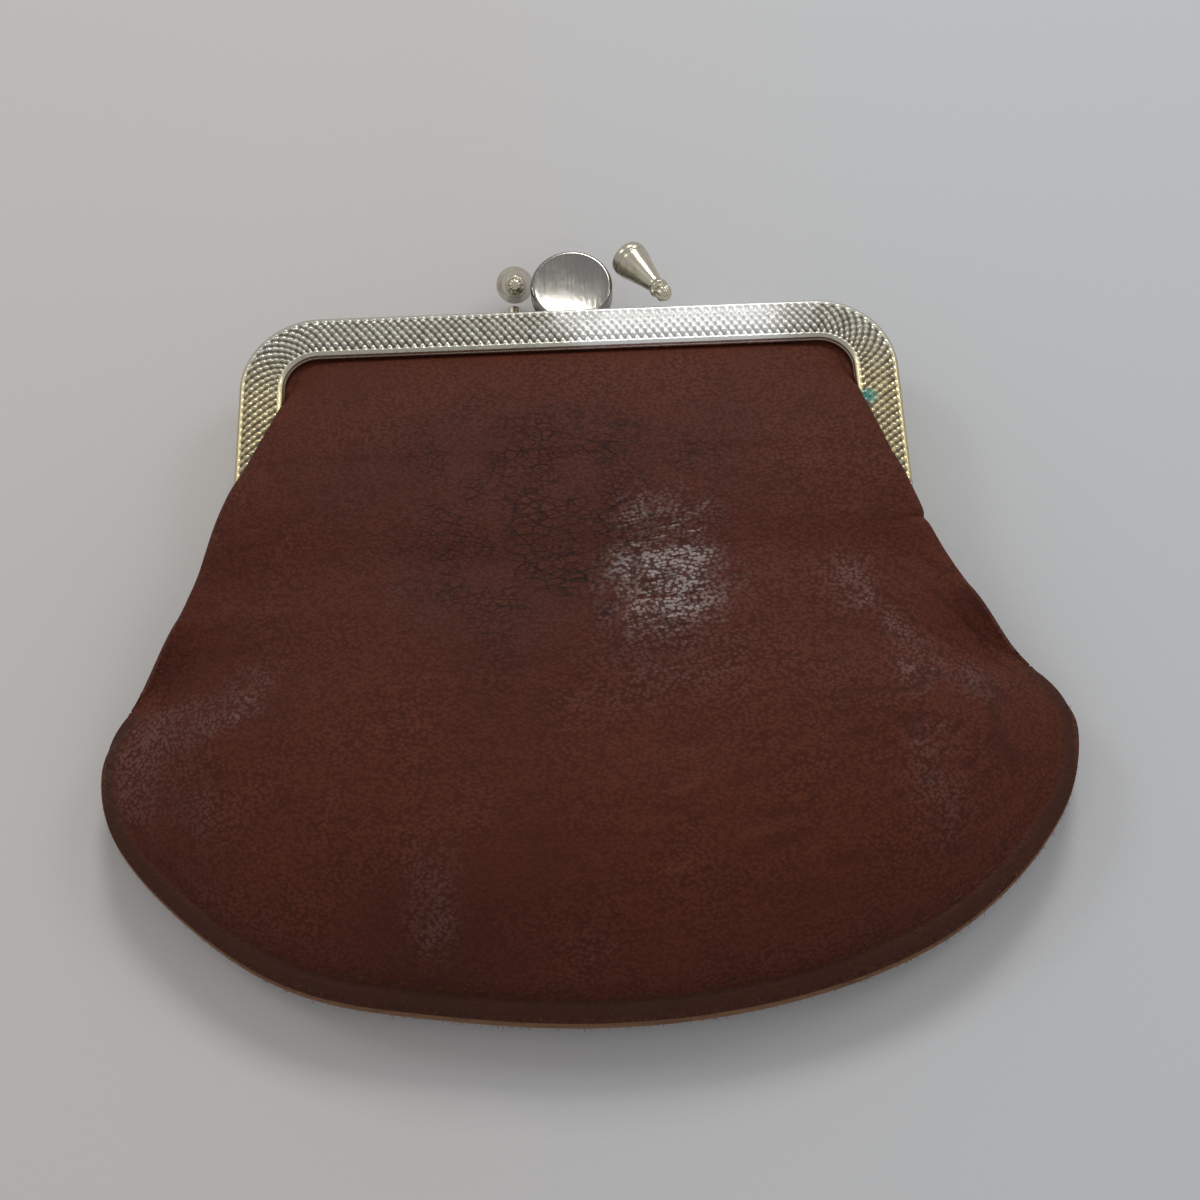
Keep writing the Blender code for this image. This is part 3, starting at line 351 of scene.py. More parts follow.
def ear(side, layer, low, high, reach):
    """Points and faces of a hinge ear: the hull of a disc on the axis and a strip on its leg.

    The outline is the farthest point of that set in each of many directions. Its first and last
    rings are drawn in a little, which rounds the edges.
    """
    turns = np.linspace(0, 2 * math.pi, 60, endpoint=False)
    disc = np.stack([np.cos(turns), np.sin(turns)], 1) * EAR_RADIUS + [0, HINGE_HEIGHT]
    strip = np.array([(y, z) for y in (LEG_END - EAR_OVERLAP, LEG_END + reach) for z in (low, high)])
    cloud = np.vstack([disc, strip])
    ways = np.stack([np.cos(turns), np.sin(turns)], 1)
    outline = cloud[np.argmax(cloud @ ways.T, axis=0)]
    outer = FRAME_WIDTH / 2 - layer * (EAR_THICKNESS + RUNNING_GAP)
    rings = [(outer, EAR_ROUND), (outer - EAR_ROUND, 0), (outer - EAR_THICKNESS + EAR_ROUND, 0),
             (outer - EAR_THICKNESS, EAR_ROUND)]
    points = np.empty((len(rings), len(outline), 3))
    for row, (x, drawn) in enumerate(rings):
        points[row, :, 0] = side * x
        points[row, :, 1:] = outline - ways * drawn
    return points, tube_faces(len(rings), len(outline))


def plated_finish(name, painted_glare_tone, dull, yellow, oxide_place):
    """Worn plating: dull, yellow at the legs, dark in the grooves, with a painted reflection of the lamp
    right of the bar's middle, where the plate is painted bright and clean.

    A small spot of blue-green oxide sits by the inner roll.
    """
    finish = Finish(name)
    cut = finish.mark("groove")
    up, along = finish.axis("Y"), finish.axis("X")
    cloud = finish.noise(220, 4, 0.6)
    stain = finish.noise(900, 5, 0.7)
    on_bar = finish.span(up + cloud * (6 * MM), 20 * MM, 31 * MM)
    # The glare is a painted reflection of the lamp: right of the bar's middle the plate is painted bright,
    # and its stains and dirt are thinned there.
    from_glare = finish.maths("ABSOLUTE", along + (cloud - 0.5) * (14 * MM) - 15 * MM, 0.0)
    glare = finish.span(from_glare, 9 * MM, 20 * MM, 1.0, 0.0) * on_bar
    plate = finish.mixed(on_bar, yellow, dull)
    plate = finish.mixed(finish.span(stain, 0.48, 0.76) * (0.60 - 0.45 * glare), plate, (0.24, 0.20, 0.13))
    plate = finish.mixed(glare, plate, painted_glare_tone)
    dirt = finish.span(cut + (stain - 0.5) * 0.5, 0.35, 0.95) * (1.0 - 0.5 * glare)
    away = finish.away_from(oxide_place)
    oxide = finish.span(away + (stain - 0.5) * (2.5 * MM), 0.6 * MM, 1.8 * MM, 1.0, 0.0)
    tone = finish.mixed(oxide, finish.mixed(dirt * 0.92, plate, (0.050, 0.034, 0.022)), (0.085, 0.270, 0.230))
    finish.shine(base_color=tone, metallic=1.0 - 0.55 * dirt - 0.4 * oxide,
                 roughness=finish.span(stain + dirt * 0.5, 0.3, 1.1, 0.24, 0.62))
    finish.relief(stain + 0.4 * finish.noise(5000, 2, 0.5), 0.04 * MM, 0.6)
    return finish


# The first colour is the painted reflection's, right of the bar's middle.
FRAME_PLATE = plated_finish("plated_frame", (0.97, 0.97, 0.94), (0.54, 0.53, 0.455), (0.64, 0.55, 0.32),
                            (39.2 * MM, 15.6 * MM, 11.9 * MM))

for frame_name, body, mate, way, layer, ear_low, ear_high in (
        ("front_frame", "front_half", FRONT_MATE, 1, 0, FRONT_MATE + RUNNING_GAP,
         FRONT_FACE - FRAME_DOME - RUNNING_GAP),
        ("rear_frame", "rear_half", REAR_MATE, -1, 2, BACK_BULGE + FRAME_DOME + RUNNING_GAP,
         REAR_MATE - RUNNING_GAP)):
    points, faces, cut = knurled_channel(mate, way)
    ears = [ear(side, layer, ear_low, ear_high, EAR_OVERLAP) for side in (-1, 1)]
    joined_points, joined_faces = join([(points, faces), *ears])
    grooves = np.zeros(len(joined_points))
    grooves[:cut.size] = cut.ravel()
    piece = new_piece(frame_name + "_knurled", joined_points, joined_faces, [FRAME_PLATE], grooves)
    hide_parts(frame_name)
    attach(piece, body)

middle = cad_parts["middle_frame"]
middle.data.materials.clear()
middle.data.materials.append(FRAME_PLATE.material)


# The hinge rivets: one through the three ears of each side, its domed head outside the ears and its
# upset tail inside them. They are brass wire, headed by hand and worn smooth.

RIVET_RADIUS = 1.0 * MM
RIVET_HEAD_RADIUS = 1.9 * MM
RIVET_HEAD_HEIGHT = 0.9 * MM
RIVET_TAIL_RADIUS = 1.6 * MM
RIVET_TAIL_HEIGHT = 0.8 * MM
RIVET_EDGE = 0.12 * MM
FLUTE_SHARE = 0.16


def turned(profile, foot, way, steps, flutes=0, flute_shares=0):
    """Points and faces of a solid turned round an axis from a profile of radii and heights.

    A point is the foot, plus its height times the axis, plus its radius times the cosine and sine of
    its turn on two directions square to the axis. Flutes take up to FLUTE_SHARE of the radius, by
    the cosine of their number times the turn and by each radius's own share.
    """
    way = np.array(Vector(way).normalized())
    side = np.array(Vector(way).orthogonal().normalized())
    third = np.cross(way, side)
    radius, height = np.array(profile, float).T
    turn = np.linspace(0, 2 * math.pi, steps, endpoint=False)
    around = np.cos(turn)[:, None] * side + np.sin(turn)[:, None] * third
    depths = np.broadcast_to(np.array(flute_shares, float) * FLUTE_SHARE, radius.shape)
    hollow = depths[:, None] * (1 - np.cos(flutes * turn))[None, :] / 2
    points = (np.array(foot) + height[:, None, None] * way
              + (radius[:, None] * (1 - hollow))[:, :, None] * around[None, :, :])
    return points, grid_faces(len(radius), steps, wrap_columns=True)


def arc(centre_radius, centre_height, radius, first, last, steps):
    """Points of an arc in a profile; its turn is measured from the outward side towards the top."""
    return [(max(0.0, centre_radius + radius * math.cos(turn)), centre_height + radius * math.sin(turn))
            for turn in np.linspace(first, last, steps)]


outer = FRAME_WIDTH / 2 + RUNNING_GAP
inner = FRAME_WIDTH / 2 - 3 * (EAR_THICKNESS + RUNNING_GAP)
tail = inner - RIVET_TAIL_HEIGHT
rivet = [(0, tail), (RIVET_TAIL_RADIUS * 0.7, tail + 0.05 * MM), (RIVET_TAIL_RADIUS * 0.95, tail + 0.3 * MM),
         (RIVET_TAIL_RADIUS, inner - 0.1 * MM), (RIVET_TAIL_RADIUS * 0.97, inner), (RIVET_RADIUS, inner),
         (RIVET_RADIUS, outer), (RIVET_HEAD_RADIUS * 0.97, outer), (RIVET_HEAD_RADIUS, outer + RIVET_EDGE)]
rivet += [(RIVET_HEAD_RADIUS * math.cos(turn),
           outer + RIVET_EDGE + (RIVET_HEAD_HEIGHT - RIVET_EDGE) * math.sin(turn))
          for turn in np.linspace(0.1, 1.0, 9) * math.pi / 2]
for side, side_name in ((-1, "left"), (1, "right")):
    points, faces = turned(rivet, (0, 0, HINGE_HEIGHT), (side, 0, 0), steps=40)
    piece = new_piece("hinge_rivet_headed_" + side_name, points, faces, [FRAME_PLATE])
    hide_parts("hinge_rivet_" + side_name)
    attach(piece, "rear_half")


# The lock: a flat disc brazed on the middle frame's bar, between two cone knobs that snap past it.
# Each cone is turned from rod and plated, its small end a fluted ball behind a collar.

DISC_X = 0.7 * MM
DISC_RADIUS = 5.7 * MM
DISC_THICKNESS = 3.0 * MM
DISC_EDGE = 0.45 * MM
DISC_GROOVE = 0.12 * MM
DISC_GROOVE_HALF = 0.5 * MM
DISC_RISE = 5.6 * MM
CONE_LENGTH = 8.0 * MM
CONE_WIDE = 2.6 * MM
CONE_CAP = 2.0 * MM
CONE_NARROW = 1.0 * MM
COLLAR_RADIUS = 1.35 * MM
COLLAR_LENGTH = 0.5 * MM
BALL_RADIUS = 1.2 * MM
BALL_FLUTES = 9
BALL_START = -0.75
BALL_STEPS = 14
FRONT_TIP = Vector((13.2 * MM, FRAME_HEIGHT + BALL_RADIUS + 0.7 * MM, FRONT_FACE - 0.6 * MM))
FRONT_LEAN = Vector((4.8, -7.9, 2.5)).normalized()
REAR_FOOT = Vector((-7.5 * MM, FRAME_HEIGHT + 9.8 * MM, 3.2 * MM))
REAR_LEAN = Vector((0.5, -5.5, 8.4)).normalized()
POST_RADIUS = 1.0 * MM
REAR_SLOT = REAR_MATE - FRAME_WALL - (FRAME_DEPTH - FRAME_DOME - 2 * FRAME_WALL) / 2


def knob_finish(name, colour, dark, rough, stained):
    """Turned metal, dulled by handling, with fine scratches across it and a share of stains."""
    finish = Finish(name)
    stain = finish.noise(350, 5, 0.65)
    scratch = finish.noise(1, 4, 0.6, vector=finish.stretched((2600, 240, 240), (0.3, 0.2, 0.9)))
    wear = finish.span(stain, 0.42, 0.72) * stained
    finish.shine(base_color=finish.mixed(wear * 0.7, colour, dark), metallic=1.0,
                 roughness=rough + 0.16 * wear + 0.10 * scratch)
    finish.relief(0.5 * scratch + 0.5 * stain, 0.03 * MM, 0.5)
    return finish


DISC_METAL = knob_finish("disc_metal", (0.29, 0.28, 0.255), (0.22, 0.21, 0.185), 0.07, 0.25)
CONE_METAL = knob_finish("cone_metal", (0.62, 0.57, 0.45), (0.30, 0.24, 0.17), 0.16, 1.0)

half = DISC_THICKNESS / 2
profile = [(0, half - 0.06 * MM), (DISC_RADIUS - DISC_EDGE - 0.5 * MM, half - 0.06 * MM),
           (DISC_RADIUS - DISC_EDGE - 0.2 * MM, half - 0.02 * MM)]
profile += arc(DISC_RADIUS - DISC_EDGE, half - DISC_EDGE, DISC_EDGE, math.pi / 2, 0, 8)
profile += [(DISC_RADIUS, 0.7 * MM), (DISC_RADIUS - DISC_GROOVE, DISC_GROOVE_HALF),
            (DISC_RADIUS - DISC_GROOVE, -DISC_GROOVE_HALF), (DISC_RADIUS, -0.7 * MM)]
profile += arc(DISC_RADIUS - DISC_EDGE, DISC_EDGE - half, DISC_EDGE, 0, -math.pi / 2, 8) + [(0, -half)]
points, faces = turned(profile, (DISC_X, FRAME_HEIGHT + DISC_RISE, HINGE_HEIGHT), (0, 0, 1), steps=120)
points[:, :, 1] = np.maximum(points[:, :, 1], FRAME_HEIGHT + RUNNING_GAP)
piece = new_piece("disc_lock_knob_filed", points, faces, [DISC_METAL])
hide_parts("disc_lock_knob")
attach(piece, "middle_half")

top = CONE_LENGTH + COLLAR_LENGTH
cone = [(0, -0.6 * MM), (CONE_CAP * 0.35, -0.57 * MM), (CONE_CAP * 0.7, -0.40 * MM),
        (CONE_CAP * 0.93, -0.12 * MM), (CONE_CAP, 0.05 * MM), (CONE_CAP + 0.12 * MM, 0.12 * MM),
        (CONE_CAP + 0.14 * MM, 0.28 * MM), (CONE_WIDE - 0.22 * MM, 0.34 * MM),
        (CONE_WIDE - 0.04 * MM, 0.50 * MM), (CONE_WIDE, 0.80 * MM), (CONE_WIDE, 1.15 * MM),
        (CONE_WIDE - 0.06 * MM, 1.45 * MM), (CONE_WIDE - 0.24 * MM, 1.62 * MM),
        (CONE_WIDE - 0.26 * MM, 1.72 * MM), (CONE_WIDE - 0.12 * MM, 1.84 * MM),
        (CONE_WIDE - 0.14 * MM, 2.1 * MM)]
cone += [(between(CONE_WIDE - 0.16 * MM, CONE_NARROW, share ** 0.9), between(2.2 * MM, CONE_LENGTH, share))
         for share in np.linspace(0.05, 1, 10)]
cone += [(COLLAR_RADIUS * 0.92, CONE_LENGTH + 0.02 * MM), (COLLAR_RADIUS, CONE_LENGTH + 0.14 * MM),
         (COLLAR_RADIUS, top - 0.14 * MM), (COLLAR_RADIUS * 0.9, top - 0.02 * MM)]
ball_centre = top + BALL_RADIUS * 0.75
ball = arc(0, ball_centre, BALL_RADIUS, BALL_START, math.pi / 2, BALL_STEPS)
flute_shares = [0] * len(cone) + [max(0.0, math.cos(turn))
                                  for turn in np.linspace(BALL_START, math.pi / 2, BALL_STEPS)]
front_foot = FRONT_TIP - FRONT_LEAN * ball_centre
for knob_name, body, foot, lean in (("front_lock_knob", "front_half", front_foot, FRONT_LEAN),
                                    ("rear_lock_knob", "rear_half", REAR_FOOT, REAR_LEAN)):
    points, faces = turned(cone + ball, foot, lean, steps=108, flutes=BALL_FLUTES, flute_shares=flute_shares)
    piece = new_piece(knob_name + "_turned", points, faces, [CONE_METAL])
    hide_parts(knob_name)
    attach(piece, body)

post_low, post_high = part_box("rear_lock_post")
post_middle = (post_low + post_high) / 2
post_length = post_high.y - post_low.y
profile = [(0, 0), (POST_RADIUS * 0.98, 0), (POST_RADIUS, 0.1 * MM), (POST_RADIUS * 0.86, post_length * 0.4),
           (POST_RADIUS * 0.86, post_length * 0.6), (POST_RADIUS, post_length - 0.1 * MM),
           (POST_RADIUS * 0.98, post_length), (0, post_length)]
points, faces = turned(profile, (post_middle.x, post_low.y, post_middle.z), (0, 1, 0), steps=36)
piece = new_piece("rear_lock_post_turned", points, faces, [CONE_METAL])
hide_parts("rear_lock_post")
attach(piece, "rear_half")


# The front leather: vegetable-tanned calf, dyed red-brown and polished by years of use. It is held
# in the front frame's channel, swells out over the frame's legs, folds in along the sides as far
# as the pocket's seam and is stitched round the bottom. One sheet, in two pieces that meet at the hinge.

SEAT_GAP = 0.3 * MM
LEATHER = 1.0 * MM
DIVIDER_LEATHER = 0.8 * MM
LINING = 0.4 * MM
INNER_X = FRAME_WIDTH / 2 - FRAME_FACE
INNER_Y = FRAME_HEIGHT - FRAME_FACE
LEG_CENTRE = FRAME_WIDTH / 2 - FRAME_FACE / 2
SHEET_INSET = 1.9 * MM
SHEET_TOP = FRAME_HEIGHT - SHEET_INSET
CLEAR = SEAT_GAP + LEATHER / 2
LIP_REACH = CLEAR + FRAME_WALL
FRONT_SLOT = FRONT_MATE + FRAME_WALL + (FRAME_DEPTH - FRAME_DOME - 2 * FRAME_WALL) / 2
STACK_PANEL = DIVIDER_LEATHER / 2 + SEAT_GAP + LINING + SEAT_GAP + LEATHER / 2

BODY_HALF_WIDTH = 61.1 * MM
WIDEST_DROP = 29.5 * MM
BOTTOM_REACH = 33.3 * MM
KINK_HALF_WIDTH = 56.2 * MM
KINK_DROP = 21.8 * MM
FOLD_TOP = 43.8 * MM
UPPER_HOLLOW, LOWER_HOLLOW = 1.05 * MM, 0.93 * MM
SIDE_SHIFT = 0.7 * MM
SEAM_MARGIN = 3.5 * MM
SEAM_SHARE = 1 - SEAM_MARGIN / BODY_HALF_WIDTH
CORNER_SHOW = 1.1 * MM
CORNER_SHOW_LENGTH = 14.5 * MM
BOTTOM_SHOW = 0.8 * MM
RAW_SHOW = 0.9 * MM
FRONT_CREST = 20.0 * MM
DIVIDER_CREST = 9.0 * MM
SEAM_HEIGHT = 6.4 * MM
HINGE_CREST = 16.4 * MM
SEAM_SAG = 0.8 * MM
FRONT_SWELLS = (np.array([
    (12.0, -9.0, 11.0, 9.0, 0.7), (0.0, 5.0, 10.0, 7.0, -0.3), (-24.0, -14.0, 7.0, 14.0, 0.5),
    (-18.0, -48.0, 8.0, 9.0, 0.5), (-46.0, -27.0, 11.0, 6.0, 0.7), (40.0, -23.0, 7.0, 9.0, 0.7),
    (41.0, -41.0, 8.0, 9.0, 0.6)]) * MM).tolist()
CREST_SLOPE = 0.18
POUCH_SLOPE = 0.24
PLAIN_FROM, PLAIN_OVER = 14.5 * MM, 7.0 * MM
FREE_EDGE, FREE_OVER = 8.0 * MM, 4.5 * MM
POUCH_EDGE = 12.0 * MM
FOLD_LIFT = 1.6 * MM
FOLD_BULGE = 0.4 * MM
TURNED_EDGE = 4.0 * MM
TURNED_EDGE_END = 0.3 * MM
GUSSET_ROOM = 2.2 * MM
BORDER = -1.0 * MM
STITCH_INSET = 2.3 * MM
FLANGE_FLAT = 2.0 * MM
FLANGE_RISE = 3.0 * MM
FLANGE_FADE = 1.2 * MM
LOW_SHIFT, HIGH_SHIFT = 1.1 * MM, -0.3 * MM
LEAN, BOTTOM_LEAN = 0.0148, -0.028
BOTTOM_RISE, FULL_RISE, DRAWN_RISE = 0.45 * MM, -1.7 * MM, 1.0 * MM
NOTCH_X, NOTCH_Y = 44.4 * MM, -2.9 * MM
NOTCH_PULL = 0.28 * MM
CUT_EDGE_BULGE = 0.05 * MM
WRINKLE_SCALE = 0.09 * MM
WAVE_COUNT = 22
POLISHED = ((12, -11, 9, 12, 1.0), (6, -26, 14, 8, 0.4), (-50, -26, 9, 4, 0.8), (-55, -33, 4, 5, 1.0),
            (-40, -21, 5, 5, 0.5), (-47, -36, 5, 6, 0.6), (-22, -14, 3, 6, 0.5), (-18, -48, 4, 8, 0.9),
            (34, -12, 4, 6, 0.7), (41, -21, 5, 5, 0.8), (48, -25, 5, 4, 0.6), (40, -37, 5, 9, 0.7),
            (5, -55, 10, 3, 0.4))
COLUMNS = 241
UPPER_ROWS = 110
THROAT_ROWS = 32
FAN_ROWS = 110


def spline_rows(controls, shares):
    """Points on the clamped uniform cubic B-splines of rows of control points, at shares of each."""
    padded = np.pad(controls, ((0, 0), (2, 2), (0, 0)), mode="edge")
    spans = padded.shape[1] - 3
    span = np.minimum((shares * spans).astype(int), spans - 1)
    t = shares * spans - span
    weights = np.stack([(1 - t) ** 3, 3 * t ** 3 - 6 * t ** 2 + 4,
                        -3 * t ** 3 + 3 * t ** 2 + 3 * t + 1, t ** 3]) / 6
    return sum(weights[k][None, :, None] * padded[:, span + k] for k in range(4))


def slot_half_width(y, inset):
    """Half the width of the U that lies inset from the frame's outer edge, at one height of it."""
    radius = FRAME_CORNER - inset
    rise = np.maximum(0, y - (FRAME_HEIGHT - FRAME_CORNER))
    return FRAME_WIDTH / 2 - inset - radius + np.sqrt(np.maximum(0, radius ** 2 - rise ** 2))


def fold_half_width(y):
    """Half the body's width at its side fold: a little hollow below the hinge, drawn in along the legs."""
    share = -y / KINK_DROP
    hollow = 4 * UPPER_HOLLOW * share * (1 - share) + 6.75 * LOWER_HOLLOW * share ** 2 * (1 - share)
    below = between(FOLD_TOP, KINK_HALF_WIDTH, share) - hollow
    above = FOLD_TOP - 0.40 * y + 6.0 * np.maximum(0, y - 8 * MM) ** 2
    return np.where(y < 0, below, above)


def corner_half_width(y):
    """Half the body's width beside the lower corners: it falls with the square of the rise to the kink."""
    rise = (y + WIDEST_DROP) / (WIDEST_DROP - KINK_DROP)
    return between(BODY_HALF_WIDTH, KINK_HALF_WIDTH, rise ** 2)


def edge_share(x, y):
    """How far a plan point lies out towards the body's edge, 1 on the edge itself."""
    half = np.where(y < -KINK_DROP, corner_half_width(y), fold_half_width(y))
    ellipse = np.hypot(x / BODY_HALF_WIDTH, (y + WIDEST_DROP) / BOTTOM_REACH)
    return np.where(y < -WIDEST_DROP, ellipse, np.abs(x) / half)


def edge_distance(x, y):
    """How far a plan point lies in from the body's edge: the share left over its own steepness."""
    share = edge_share(x, y)
    over = y + WIDEST_DROP
    steep = np.hypot(x / BODY_HALF_WIDTH ** 2, over / BOTTOM_REACH ** 2) / np.maximum(share, 0.1)
    return (1 - share) / np.where(over < 0, np.maximum(steep, 1 / BODY_HALF_WIDTH), 1 / BODY_HALF_WIDTH)


def puff(x, y):
    """1 in the middle of the body and 0 from the seam's stitch line outwards."""
    return 1 - np.minimum(1, edge_share(x, y) / SEAM_SHARE) ** 3


def edge_level(y):
    """Mid height of the layers at the body's edge, level with the hinge beside it."""
    return between(HINGE_HEIGHT, SEAM_HEIGHT, eased(-y / KINK_DROP))


def open_share(y):
    """1 where the body's side is an open fold, down to 0 at the kink, where the seam starts."""
    return eased((y + KINK_DROP) / (KINK_DROP - POUCH_EDGE))


def turned_edge_height(y):
    """Mid height of the turned-in edge, which leaves room for the gusset under it."""
    return edge_level(y) + STACK_PANEL + GUSSET_ROOM * open_share(y)


def seam_sag(x, y):
    """How far the seam's layers hang at a place between the stitch line and the body's edge."""
    return SEAM_SAG * eased((edge_share(x, y) - SEAM_SHARE) / (1 - SEAM_SHARE)) * (1 - open_share(y))


def spot(x, y, centre_x, centre_y, reach_x, reach_y):
    """1 at a place on the leather, falling away round it."""
    return np.exp(-((x - centre_x) / reach_x) ** 2 - ((y - centre_y) / reach_y) ** 2)


def swell(x, y):
    """How far the worn leather stands off its even shape: a sum of soft bells, each with its reach."""
    return sum(rise * spot(x, y, *place) for *place, rise in FRONT_SWELLS)


def front_height(x, y):
    """Mid height of the front leather over the pouch."""
    low = turned_edge_height(y) + FOLD_LIFT * open_share(y)
    crest = between(HINGE_CREST, FRONT_CREST, eased(-y / KINK_DROP)) - LEATHER / 2
    flange = between(eased((edge_distance(x, y) - FLANGE_FLAT) / FLANGE_RISE), 1, open_share(y))
    full = puff(x, y)
    return between(low, crest, full * flange) + swell(x, y) * np.minimum(1, 2 * full) - seam_sag(x, y)


def edge_point(across):
    """Plan points of the body's edge, from the left kink round the bottom to the right one."""
    start = math.asin((WIDEST_DROP - KINK_DROP) / BOTTOM_REACH)
    angle = between(math.pi - start, 2 * math.pi + start, across)
    y = -WIDEST_DROP + BOTTOM_REACH * np.sin(angle)
    side = np.where(across < 0.5, -1, 1)
    return np.where(y > -WIDEST_DROP, side * corner_half_width(y), BODY_HALF_WIDTH * np.cos(angle)), y


def pouch_plan(across, down, top_y, top_half, corner_show=0.0, bottom_show=0.0):
    """Plan points of a layer: columns fan out from a straight top edge to the body's edge.

    The edge is drawn in beside the lower corners and round the bottom, where the layer under it shows.
    """
    edge_x, edge_y = edge_point(across)
    past = np.clip((-KINK_DROP - edge_y) / CORNER_SHOW_LENGTH, 0, 1)
    out_x, out_y = edge_x / BODY_HALF_WIDTH ** 2, np.minimum(0, edge_y + WIDEST_DROP) / BOTTOM_REACH ** 2
    inset = bottom_show * eased(past) / np.hypot(out_x, out_y)
    edge_x = edge_x - np.sign(edge_x) * 4 * corner_show * past * (1 - past) - inset * out_x
    edge_y = edge_y - inset * out_y
    x = between((2 * across - 1) * top_half, edge_x, down)
    y = between(top_y, edge_y, down)
    return x, y


def settled(points):
    """The layers as they lie in use: the lower body sits a little to the right and slightly turned.

    Its bottom is fuller on the left and drawn up at the right corner.
    """
    x, y, z = points[..., 0], points[..., 1], points[..., 2]
    high = np.exp(-((y + 8 * MM) / (9 * MM)) ** 2)
    shift = LOW_SHIFT * eased((-y - 18 * MM) / (12 * MM)) + HIGH_SHIFT * high
    lean = LEAN * eased(-y / (25 * MM)) + BOTTOM_LEAN * eased((-y - 30 * MM) / (20 * MM))
    full, drawn = np.exp(-((x + 37 * MM) / (14 * MM)) ** 2), np.exp(-((x - 54 * MM) / (9 * MM)) ** 2)
    rise = (BOTTOM_RISE + FULL_RISE * full + DRAWN_RISE * drawn) * eased((-y - 30 * MM) / (14 * MM))
    return np.stack([x + shift, y + lean * x + rise, z], axis=-1)


def waves(x, y, size, seed, stretch=(1.0, 1.0), turn=0.0):
    """Soft random relief from about -1 to 1: a sum of sines of random headings near one wavelength."""
    rng = np.random.default_rng(seed)
    along = (x * math.cos(turn) + y * math.sin(turn)) / stretch[0]
    over = (-x * math.sin(turn) + y * math.cos(turn)) / stretch[1]
    headings = rng.uniform(0, math.pi, WAVE_COUNT)
    wavelengths = rng.uniform(0.7, 1.5, WAVE_COUNT) * size
    phases = rng.uniform(0, 2 * math.pi, WAVE_COUNT)
    total = np.zeros(np.shape(x))
    for heading, wavelength, phase in zip(headings, wavelengths, phases):
        ahead = along * math.cos(heading) + over * math.sin(heading)
        total += np.sin(2 * math.pi * ahead / wavelength + phase)
    return total / math.sqrt(WAVE_COUNT)


def creases(level, width):
    """Valleys, from 0 to 1 deep, along the lines where a relief crosses zero."""
    return np.exp(-(level / width) ** 2)


def front_wrinkles(x, y):
    """Fine relief of the worn leather: lines on its left side, creases on its bulge, right and bottom."""
    left = spot(x, y, -42 * MM, -14 * MM, 13 * MM, 22 * MM)
    relief = left * 0.030 * MM * waves(x, y, 2.4 * MM, 7, stretch=(3.6, 0.8), turn=0.15)
    right = spot(x, y, 43 * MM, -26 * MM, 12 * MM, 16 * MM)
    relief -= right * 0.18 * MM * creases(waves(x, y, 8 * MM, 8, stretch=(2.2, 0.8), turn=-0.35), 0.26)
    bottom = spot(x, y, 16 * MM, -43 * MM, 30 * MM, 13 * MM)
    relief += bottom * 0.045 * MM * waves(x, y, 3.0 * MM, 9, stretch=(3.2, 0.8), turn=0.15)
    centre = spot(x, y, 11 * MM, -12 * MM, 13 * MM, 15 * MM)
    relief -= centre * 0.11 * MM * creases(waves(x, y, 5 * MM, 6, stretch=(1.6, 0.9), turn=0.2), 0.16)
    relief += centre * 0.035 * MM * waves(x, y, 3.4 * MM, 14)
    middle = spot(x, y, -14 * MM, -26 * MM, 16 * MM, 14 * MM)
    relief -= middle * 0.06 * MM * creases(waves(x, y, 5 * MM, 15, stretch=(0.9, 1.8), turn=0.1), 0.14)
    under_bar = spot(x, y, 14 * MM, 15 * MM, 24 * MM, 6 * MM)
    return relief - under_bar * 0.05 * MM * creases(waves(x, y, 4 * MM, 10, stretch=(5.0, 0.8)), 0.35)


def front_relief(x, y):
    """How far the worn leather stands off its swells: soft pillows, wrinkles and puckers at the seam."""
    share = edge_share(x, y)
    inside = eased((1 - share) / 0.10)
    low_body = eased((-y - KINK_DROP) / (6 * MM))
    relief = inside * (0.08 * MM * waves(x, y, 17 * MM, 3) + 0.045 * MM * waves(x, y, 7.5 * MM, 4)
                       + 0.012 * MM * waves(x, y, 3.2 * MM, 5) + front_wrinkles(x, y))
    pucker = np.exp(-((edge_distance(x, y) - 4.5 * MM) / (2.2 * MM)) ** 2) * low_body
    angle = np.arctan2(x, -y - 4 * MM)
    relief += pucker * (0.06 * MM * np.sin(angle * 31 + 2 * np.sin(angle * 7))
                        + 0.03 * MM * np.sin(angle * 57 + 1))
    groove = np.exp(-((edge_distance(x, y) - STITCH_INSET - 0.4 * MM) / (0.6 * MM)) ** 2)
    fold = (y - NOTCH_Y) - 0.25 * (x - NOTCH_X)
    notch = np.exp(-(fold / (0.5 * MM)) ** 2) * spot(x, y, NOTCH_X, NOTCH_Y, 4 * MM, 3 * MM)
    return relief - 0.22 * MM * groove * low_body - 0.20 * MM * notch


def polish(x, y):
    """1 where years of handling have polished the leather: on its bulge, its ridges and its low swells."""
    total = sum(share * spot(x, y, *(size * MM for size in place)) for *place, share in POLISHED)
    return np.clip(total, 0, 1)


def seam_shade_mark(x, y, width):
    """1 on the seam's flange, which is this wide, and 0 inside the stitches and above the seam's ends; the
    finish darkens the flange, partly in its own tone and partly as painted shade.
    """
    flange = 1 - eased((edge_distance(x, y) - width) / FLANGE_FADE)
    return flange * eased((-y - KINK_DROP + 1 * MM) / (3 * MM))


def normals_of(points):
    """Unit directions square to a grid of points, upwards where it lies flat face up."""
    along = np.gradient(points, axis=1)
    down = np.gradient(points, axis=0)
    normal = np.cross(down, along)
    return normal / np.maximum(np.linalg.norm(normal, axis=-1, keepdims=True), 1e-12)


